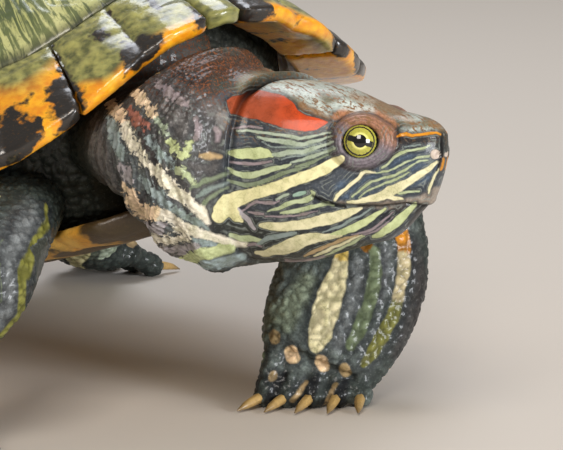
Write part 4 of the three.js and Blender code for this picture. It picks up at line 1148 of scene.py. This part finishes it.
LEG_STRIPES = (
    # broad stripe of the upper arm
    ("amber_pale", [(344, 240, 5), (342, 254, 6.2), (340.5, 262, 7.4)]),
    ("leg_cream", [(340.5, 262, 7.4), (338, 275, 9.3), (330.8, 294.7, 13), (325.2, 314.6, 13),
        (320.8, 332, 12), (315.8, 345, 7.5)]),
    # outer stripe
    ("amber", [(401, 225, 6), (402, 237.4, 7.5), (404.2, 250, 6.5)]),
    ("leg_sand", [(404.2, 250, 6), (403, 275, 6.2), (398, 298, 6)]),
    ("olive", [(396, 306, 6), (392, 318, 6.8), (381.8, 336.9, 7), (372, 353, 6), (364, 364, 3.4)]),
    # middle band
    ("fern", [(374.3, 250, 5), (375.5, 274.8, 6.6), (370.6, 299.6, 7), (361, 326, 6.4), (350, 346, 4.6)]),
    ("amber_dark", [(359, 242, 4), (367, 247, 6.4)]),
    # knuckle
    ("peach", [(291.8, 352.5, 7), (292.6, 356, 7)]),
    ("peach", [(321.6, 362, 6.6), (322.4, 366, 6.4)]),
    ("tan", [(274.8, 335, 5.6), (274.6, 339, 5.2)]),
    ("tan", [(345, 369, 5.6), (346.4, 372, 5.2)]),
    ("fern", [(259.9, 355, 4.6), (259.5, 359, 4.2)]),
    # toe
    ("tan", [(273.6, 375, 3.6), (272, 379, 3.2)]),
    ("olive", [(250, 371, 4), (249, 376, 3.4)]),
    ("tan", [(306, 382, 2.4), (300, 391, 2.6), (293, 400, 2.6)]),
    ("tan", [(335, 385, 2.4), (330, 397, 2.6), (325, 408, 2.6)]),
)
# The other legs are drawn flat: millimetres across the leg from its middle, along it from the body.
OTHER_LEG_WASHES = (
    ("leg_green", 3, 0.7, [(-6, 20, 4), (-6, 50, 4)]), ("leg_grey", 3, 0.6, [(6, 20, 3), (6, 50, 3)]),
)
OTHER_LEG_STRIPES = (
    ("butter", [(-2, 18, 2.2), (-2.5, 34, 3.4), (-2, 52, 3.2), (-1, 60, 1.6)]),
    ("olive", [(8, 14, 1.6), (9, 34, 2.2), (8, 54, 2), (7, 60, 1)]),
    ("fern", [(3.6, 20, 0.9), (4, 38, 1.5), (3.5, 54, 1.2)]),
    ("sage", [(-9, 16, 1.2), (-9.5, 34, 1.6), (-8, 54, 1.3)]),
    ("cream", [(13, 20, 0.8), (13.5, 40, 1.1), (12, 56, 0.8)]),
)


class Paint:
    """Ground colour, stripe colour and distance inside the nearest stripe for every point of the skin."""

    def __init__(self, count):
        self.ground, self.mark = np.tile(INKS["trunk"], (count, 1)), np.tile(INKS["sage"], (count, 1))
        self.reach = np.full(count, -9.0)

    def wash(self, which, share, ink):
        self.ground[which] += share[:, None] * (INKS[ink] - self.ground[which])

    def stripe(self, which, reach, ink):
        nearer = which[reach > self.reach[which]]
        self.reach[nearer] = reach[reach > self.reach[which]]
        self.mark[nearer] = INKS[ink]

    def drawn_washes(self, which, right, high, washes):
        for ink, soft, strength, path in washes:
            self.wash(which, strength * ease(-soft, soft, stroke_reach(right, high, path)), ink)

    def drawn_stripes(self, which, right, high, stripes, sharpness=1.0, slimmer=0.0):
        """A stripe of less sharpness has softer edges."""
        for ink, path in stripes:
            self.stripe(which, (stroke_reach(right, high, path) - slimmer) * sharpness, ink)


paint = Paint(len(points))
wobble = points[face]
right, high = drawing_place(near_side(wobble))
ragged = 0.24 + 0.36 * ease(1, 8, behind[face])
right = right + ragged * (ripple(wobble, 2.4, 8) + 0.4 * ripple(wobble, 0.9, 15))
high = high + ragged * (ripple(wobble, 2.4, 9) + 0.4 * ripple(wobble, 0.9, 16))
paint.drawn_washes(face, right, high, washes_in_mm(FACE_WASHES))
# The lids are grey below and brown above; painted shade darkens the creases between their folds and the
# groove round their outer edge.
lid = 1 - ease(5.9, 6.4, lid_radius)
fold = 0.5 - 0.5 * np.sin(lid_radius * 2 * math.pi / LID_FOLD + 1.4 * ripple(wobble, 2.5, 1))
paint.wash(face, lid * 0.85, "lid_grey")
paint.wash(face, lid * 0.85 * ease(0.3, 3.6, lid_lift + 0.45 * lid_level), "brow")
paint.wash(face, lid * 0.5 * fold ** 2 * ease(3.8, 4.3, lid_radius), "fold")
paint.wash(face, 0.85 * hump(lid_radius, LID_EDGE, 0.3), "fold")
paint.wash(face, 1 - ease(3.5, 3.8, lid_radius), "black")
paint.drawn_stripes(face, right, high, stripes_in_mm(FACE_STRIPES))
paint.drawn_stripes(face, right, high, stripes_in_mm(NECK_STRIPES), 0.4)
red_reach, _ = edge_reach(right, high, np.array(stroke_in_mm(RED_PATCH)))
paint.stripe(face, red_reach, "red")
# The patch is browner towards its rear, on the loose skin.
browner = (1 - ease(-21, -11, right)) * (red_reach > -1)
paint.mark[face] += browner[:, None] * (INKS["red_pale"] - paint.mark[face])
paint.ground = INKS["trunk"] + neck_fade[:, None] * (paint.ground - INKS["trunk"])
paint.reach -= 6 * (1 - neck_fade) * on_neck


def leg_places(points, path):
    """How far along a leg's middle line each place is, the nearest place on that line and the way to it."""
    centres = np.array([station[0] for station in path], dtype=float)
    best = np.full(len(points), 1e9)
    along, walked = np.zeros(len(points)), 0.0
    foot = np.zeros_like(points)
    for start, end in zip(centres, centres[1:]):
        step = end - start
        t = np.clip((points - start) @ step / (step @ step), 0, 1)
        place = start + t[:, None] * step
        gap = np.linalg.norm(points - place, axis=1)
        nearer = gap < best
        along = np.where(nearer, walked + t * np.linalg.norm(step), along)
        foot = np.where(nearer[:, None], place, foot)
        best = np.where(nearer, gap, best)
        walked += np.linalg.norm(step)
    return along, foot, best


rest = np.flatnonzero(~on_neck)
for leg, (path, across, *_) in LEGS.items():
    along, foot, gap = leg_places(points[rest], path)
    mine = (gap < 19) & (shell_scale[rest] > 0.55)
    which, spot = rest[mine], points[rest[mine]]
    paint.wash(which, np.ones(len(which)), "leg_dark")
    if leg == "front_left":
        right, high = drawing_place(spot)
        right = right + 0.3 * ripple(spot, 2.5, 10)
        high = high + 0.3 * ripple(spot, 2.5, 11)
        paint.drawn_washes(which, right, high, washes_in_mm(LEG_WASHES))
        paint.drawn_stripes(which, right, high, stripes_in_mm(LEG_STRIPES), 0.5)
        continue
    across = np.array(across) / np.linalg.norm(across)
    over = (spot - foot[mine]) @ across + 0.5 * ripple(spot, 5, 12)
    # The right thigh's path starts deeper in the body than the others.
    walked = along[mine] - (22 if leg == "hind_right" else 0) + 0.5 * ripple(spot, 5, 13)
    paint.drawn_washes(which, over, walked, OTHER_LEG_WASHES)
    # The stripes of the right arm are narrower, which darkens the arm as painted shade.
    slimmer = 1.3 if leg == "front_right" else 0.0
    paint.drawn_stripes(which, over, walked, OTHER_LEG_STRIPES, 0.6, slimmer)
    for k, (root, tip) in enumerate(toe_lines[leg]):
        knuckle = 2.3 - np.linalg.norm(spot - root - (0, 0, 2), axis=1)
        paint.stripe(which, knuckle, ("tan", "peach", "peach", "tan", "fern")[k])
# The tail has a dark back with three narrow pale lines on each side.
along, foot, gap = leg_places(points[rest], TAIL_PATH)
mine = gap < 9
which, spot = rest[mine], points[rest[mine]]
paint.wash(which, np.ones(len(which)), "leg_dark")
bearing = np.degrees(np.arctan2(*(spot - foot[mine])[:, (0, 2)].T))
bearings = (-100, "sage"), (-55, "butter"), (-15, "fern"), (25, "sage"), (65, "butter"), (110, "sage")
for centre, ink in bearings:
    paint.stripe(which, 0.8 - np.abs(bearing - centre) * 0.09 + 0.3 * ripple(spot, 4, 14), ink)

# Scales differ a little in tone, and the grooves between them are darkened with painted shade.
groove = np.where(on_neck, 1.0, 0.5 + 0.5 * scale_top)
tone = groove * (0.86 + 0.28 * scale_tone)
# Painted light and shade on the neck's wrinkles: paler on the crests of the folds and of the grain, darker in
# the hollows between; the grain also varies at random in tone.
crease_tone = loose * (0.13 * wide_fold + 0.17 * fine_fold)
crease_tone[grain] += loose[grain] * (0.34 * (grain_top - 0.7) + 0.3 * (grain_tone - 0.5))
tone, groove = tone * (1 + crease_tone), groove * (1 + 0.8 * crease_tone)
# Painted shade darkens the deep creases: in front of the sheath's lip, where the lip shades the skull, and
# along the mouth.
crowning = ease(6, 11, up)
crease_shade = (0.55 + 0.4 * crowning) * lip_strength * hump(behind, -0.5, 0.45 + 0.2 * crowning) * on_neck
crease_shade = np.maximum(crease_shade, 0.85 * hump(below, 0, 0.4) * mouth_reach)
tone, groove = tone * (1 - crease_shade), groove * (1 - crease_shade)
rough_neck = ease(0, 3, behind) * on_neck
rusty = rough_neck * ease(3, 12, up)
for name, colour, shade in (("ground_colour", paint.ground, tone), ("mark_colour", paint.mark, groove)):
    store(skin_mesh, name, np.column_stack((colour * shade[:, None], np.ones(len(points)))))
for name, values in (
    ("skin_mm", points), ("mark_mm", np.clip(paint.reach, -9, 9)), ("rusty", rusty), ("loose_share", loose),
    ("crease_shade_share", crease_shade * (0.2 + 0.8 * crowning)),
    ("crown_share", on_neck * (1 - rough_neck) * ease(-2, 3, up)),
    ("face_share", neck_fade * (1 - 0.4 * rough_neck) * (1 - rusty)),
):
    store(skin_mesh, name, values)


def wet_skin():
    """Wet reptile skin: striped, finely pebbled and glossy, with short brown streaks over the crown."""
    material, tree, shader = start_material(
        "wet_striped_skin", 0.46, coat=0.28, coat_roughness=0.12, ior=1.22)
    place = add_node(tree, "Attribute", out="Vector", attribute_name="skin_mm")
    ground, mark = (
        add_node(tree, "Attribute", attribute_name=name) for name in ("ground_colour", "mark_colour"))
    reach, rusty, crown, face, loose, crease_shade = (
        add_node(tree, "Attribute", out="Fac", attribute_name=name)
        for name in ("mark_mm", "rusty", "crown_share", "face_share", "loose_share", "crease_shade_share"))
    # Pigment cells show as specks about half a millimetre across.
    pigment = add_node(tree, "TexNoise", {"Vector": place, "Scale": 1.9, "Detail": 4.0, "Roughness": 0.65})
    patches = add_node(tree, "TexNoise", {"Vector": place, "Scale": 0.42, "Detail": 4.0})
    ground = lay_over(tree, ground, "#23262a", pigment, (0.42, 0.66), 0.42)
    ground = lay_over(tree, ground, "#7d4a2b", pigment, (0.5, 0.62), rusty)
    drawn_out = add_node(tree, "Mapping", {
        "Vector": place, "Rotation": (0, 0, -HEAD_TURN), "Scale": (1.6, 0.3, 1.6)})
    streak = add_node(tree, "TexNoise", {"Vector": drawn_out, "Scale": 1.0, "Detail": 4.0, "Distortion": 0.6})
    ground = lay_over(tree, ground, "#7d5c3c", streak, (0.52, 0.62), crown)
    edge = add_node(tree, "Math", {0: patches, 1: 0.5, 2: reach}, operation="MULTIPLY_ADD")
    # On the loose skin, folds a millimetre or two wide fray the stripes' edges.
    frayed = add_node(tree, "TexNoise", {"Vector": place, "Scale": 0.9, "Detail": 3.0, "Distortion": 0.5})
    frayed = add_node(tree, "MapRange", {
        "Value": frayed, "From Min": 0.3, "From Max": 0.7, "To Min": -0.32, "To Max": 0.34})
    edge = add_node(tree, "Math", {0: frayed, 1: loose, 2: edge}, operation="MULTIPLY_ADD")
    # A stripe is edged by a darker line about half a millimetre wide.
    ground = lay_over(tree, ground, "#1d2024", edge, (-0.75, -0.1), 0.6)
    # Between wide stripes run fine paler lines, three quarters of a millimetre apart and broken in places.
    line = add_node(tree, "Math", {0: edge, 1: 0.375, 2: -0.375}, operation="WRAP")
    line = add_node(tree, "Math", {0: line}, operation="ABSOLUTE")
    faint = add_node(tree, "Math", {0: face, 1: 0.7}, operation="MULTIPLY")
    for value, low, high in ((edge, -3.6, -2.6), (patches, 0.44, 0.58)):
        faint = add_node(tree, "MapRange", {
            "Value": value, "From Min": low, "From Max": high, "To Max": faint})
    ground = lay_over(tree, ground, "#7c827c", line, (0.17, 0.05), faint)
    ground = lay_over(tree, ground, "#8d9190", pigment, (0.42, 0.3), 0.28)
    mark = lay_over(tree, mark, "#b4ba9c", patches, (0.4, 0.66), 0.5, "MULTIPLY")
    mark = lay_over(tree, mark, "#7c7663", pigment, (0.6, 0.72), 0.35, "MULTIPLY")
    colour = lay_over(tree, ground, mark, edge, (0.14, 0.36))
    # A fine net of creases, about a millimetre wide in its mesh, crosses stripes and ground alike.
    net = add_node(tree, "TexVoronoi", {"Vector": place, "Scale": 1.0}, feature="DISTANCE_TO_EDGE")
    crease_tone = add_node(tree, "MapRange", {"Value": patches, "From Min": 0.42, "From Max": 0.62, "To Max": 0.3})
    colour = lay_over(tree, colour, "#6f6a62", net, (0.08, 0), crease_tone, "MULTIPLY")
    # The painted shade of the creases is laid on once more here.
    colour = lay_over(tree, colour, "#3a3230", crease_shade, way="MULTIPLY")
    fine = add_node(tree, "TexNoise", {"Vector": place, "Scale": 3.2, "Detail": 3.0})
    bump = add_node(tree, "Bump", {"Height": fine, "Strength": 0.3, "Distance": 0.18 * MM})
    broad = {"Height": patches, "Strength": 0.3, "Distance": 0.5 * MM, "Normal": bump}
    tree.links.new(colour, shader.inputs["Base Color"])
    tree.links.new(add_node(tree, "Bump", broad), shader.inputs["Normal"])
    return material


make_piece("skin", skin_mesh, wet_skin(), [
    "trunk", "head", "lower_jaw", "neck", "tail",
    "leg_front_left", "leg_front_right", "leg_hind_left", "leg_hind_right",
])

# ---------------------------------------------------------------- eyes
# Two round eyes under a clear wet cornea. The iris is yellow-green with a bright ring round the black
# pupil, and a black bar runs through it from corner to corner of the eye.

EYE_RADIUS = 4.5
CORNEA_BULGE, CORNEA_HALF = 0.35, 3.2
BAR_TILT = math.radians(-13)


def eye_surface():
    """Iris under a clear cornea: a smooth wet coat gives it one small sharp highlight."""
    material, tree, shader = start_material(
        "wet_cornea", 0.12, coat=1.0, coat_roughness=0.02, ior=1.38)
    place = add_node(tree, "Attribute", out="Vector", attribute_name="iris_mm")
    out = add_node(tree, "VectorMath", {0: place}, "Value", operation="LENGTH")
    grain = add_node(tree, "TexNoise", {"Vector": place, "Scale": 1.9, "Detail": 5.0, "Roughness": 0.7})
    iris = lay_over(tree, "#b1ad48", "#727838", grain, (0.48, 0.66), 0.7)
    iris = lay_over(tree, iris, "#e9e58a", out, (2.0, 1.55), 0.9)
    wavy = add_node(tree, "Math", {0: grain, 1: 0.5, 2: out}, operation="MULTIPLY_ADD")
    iris = lay_over(tree, iris, "#14130f", wavy, (3.5, 3.7))
    # A thin dark line, a third of a millimetre wide, parts the iris from its bright outer edge.
    line = add_node(tree, "Math", {0: wavy, 1: 3.17, 2: 0.15}, operation="COMPARE")
    iris = lay_over(tree, iris, "#1c1b12", line)
    # The black bar reaches about 0.6 mm above and below its middle line and ends short of the thin line.
    height = add_node(tree, "SeparateXYZ", {0: place}, "Y")
    height = add_node(tree, "Math", {0: height}, operation="ABSOLUTE")
    height = add_node(tree, "Math", {0: grain, 1: 0.5, 2: height}, operation="MULTIPLY_ADD")
    ends = add_node(tree, "MapRange", {"Value": wavy, "From Min": 3.1, "From Max": 2.9})
    iris = lay_over(tree, iris, "#12100d", height, (0.94, 0.82), ends)
    colour = lay_over(tree, iris, "#030303", out, (1.42, 1.34))
    tree.links.new(colour, shader.inputs["Base Color"])
    return material


cornea = eye_surface()
for side, word in ((1, "left"), (-1, "right")):
    mesh = bpy.data.meshes.new("eyeball_" + word)
    ball = bmesh.new()
    bmesh.ops.create_uvsphere(ball, u_segments=72, v_segments=48, radius=EYE_RADIUS)
    ball.to_mesh(mesh)
    ball.free()
    axis = eye_axis(side)
    level = AHEAD - (AHEAD @ axis) * axis
    level /= np.linalg.norm(level)
    lift = UPWARD - (UPWARD @ axis) * axis - (UPWARD @ level) * level
    lift /= np.linalg.norm(lift)
    along, rise, out = read_points(mesh).T
    # The cornea bulges a little over the iris.
    out = out + CORNEA_BULGE * hump(np.hypot(along, rise), 0, CORNEA_HALF) * (out > 0)
    cosine, sine = math.cos(BAR_TILT), math.sin(BAR_TILT)
    place = along * cosine + rise * sine, rise * cosine - along * sine, np.where(out > 0, 0, 9)
    store(mesh, "iris_mm", np.stack(place, axis=1))
    centre = HEAD_CENTRE + side * EYE_SIDE * LEFTWARD
    place_points(mesh, centre + np.outer(along, level) + np.outer(rise, lift) + np.outer(out, axis))
    make_piece("eyeball_" + word, mesh, cornea, ["eye_" + word])

# ---------------------------------------------------------------- claws
# Five claws on each front foot and four on each hind foot: curved, blunt horn sheaths on the toe tips.
# The horn is tan where it leaves the skin and darker towards the worn point.

CLAW_VOXEL = 0.22
CLAW_OVER_FLOOR, SHEATH_INSIDE = 0.1, 1.1


def claw_horn():
    """Worn horn: streaked along its length and rubbed dull."""
    material, tree, shader = start_material(
        "worn_horn", 0.4, coat=0.25, coat_roughness=0.2, ior=1.54)
    place = add_node(tree, "Attribute", out="Vector", attribute_name="claw_mm")
    along = add_node(tree, "Attribute", out="Fac", attribute_name="claw_share")
    grain = add_node(tree, "TexNoise", {"Vector": place, "Scale": 1.4, "Detail": 4.0})
    colour = lay_over(tree, "#8a6f42", "#caa765", grain)
    colour = lay_over(tree, colour, "#3a2f22", along, (0.35, 1.0), 0.75)
    return finish_material(material, shader, colour, grain, strength=0.3, depth=0.2)


horn = claw_horn()
for leg, lines in toe_lines.items():
    for k, (root, tip) in enumerate(lines):
        name = f"claw_{leg}_{k + 1}"
        mesh = voxel_mesh(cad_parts[name].data.copy(), CLAW_VOXEL)
        points = smoothed(body_points(mesh), mesh_edges(mesh), 5)
        share = np.linalg.norm(points - tip, axis=1)
        share = (share - share.min()) / (share.max() - share.min())
        # The sheath starts inside the skin of the toe.
        back = tip - points.mean(axis=0)
        back /= np.linalg.norm(back)
        points += np.outer((1 - ease(0, 0.3, share)) * SHEATH_INSIDE, back)
        points[:, 2] = np.maximum(points[:, 2], CLAW_OVER_FLOOR)
        place_points(mesh, points)
        store(mesh, "claw_mm", points)
        store(mesh, "claw_share", share)
        make_piece("horn_" + name, mesh, horn, [name])

# ---------------------------------------------------------------- floor, light and camera
# A plain pale floor that runs back into a pale room, three large lamps, and the camera.
# The floor is matt and the lamps are large and near white, so that shadows are soft and colours true.

FLOOR_HALF = 12.0
floor_mesh = bpy.data.meshes.new("floor")
corners = [(x * FLOOR_HALF, y * FLOOR_HALF, 0) for x, y in ((-1, -1), (1, -1), (1, 1), (-1, 1))]
floor_mesh.from_pydata(corners, [], [(0, 1, 2, 3)])
floor = bpy.data.objects.new("floor", floor_mesh)
bpy.context.scene.collection.objects.link(floor)
floor_paint, _, floor_shader = start_material("matt_pale_floor", 0.8)
floor_shader.inputs["Base Color"].default_value = linear("#cfc8bf")
floor_mesh.materials.append(floor_paint)

bpy.context.scene.view_settings.view_transform = "Standard"
world = bpy.data.worlds.new("pale_room")
bpy.context.scene.world = world
world.use_nodes = True
world.node_tree.nodes["Background"].inputs["Color"].default_value = linear("#d9d4cd")
world.node_tree.nodes["Background"].inputs["Strength"].default_value = 0.42

# Each lamp: where it stands from the head in metres, its side in metres, power in watts and colour.
LAMPS = (
    ("key", (-0.7, -0.6, 0.8), 0.5, 9.5, "#fff6ec"),
    ("fill", (0.6, -2.8, 0.5), 1.0, 78.0, "#f4f6fa"),
    ("top", (0.3, 0.55, 1.0), 0.6, 6.0, "#f2f6ff"),
)
head_spot = Vector((HEAD_CENTRE + ORIGIN) * MM)
for name, place, size, power, colour in LAMPS:
    data = bpy.data.lights.new(name, "AREA")
    data.size = size
    data.energy = power
    data.color = linear(colour)[:3]
    lamp = bpy.data.objects.new(name, data)
    bpy.context.scene.collection.objects.link(lamp)
    lamp.location = head_spot + Vector(place)
    lamp.visible_camera = False
    lamp.rotation_euler = Vector(place).to_track_quat("Z", "Y").to_euler()

camera_data = bpy.data.cameras.new("camera")
camera = bpy.data.objects.new("camera", camera_data)
bpy.context.scene.collection.objects.link(camera)
spot = Vector((view_from + ORIGIN) * MM)
turn = Matrix((VIEW_RIGHT, VIEW_UP, VIEW_BACK)).transposed()
camera.matrix_world = Matrix.Translation(spot) @ turn.to_4x4()
SENSOR_WIDTH, PICTURE_WIDTH, PIXELS_PER_MM = 36, 563, 4.8
camera_data.sensor_width = SENSOR_WIDTH
# The scale holds at the near eye.
camera_data.lens = SENSOR_WIDTH * VIEW_FAR / (PICTURE_WIDTH / PIXELS_PER_MM)
camera_data.clip_start = 0.01
bpy.context.scene.camera = camera
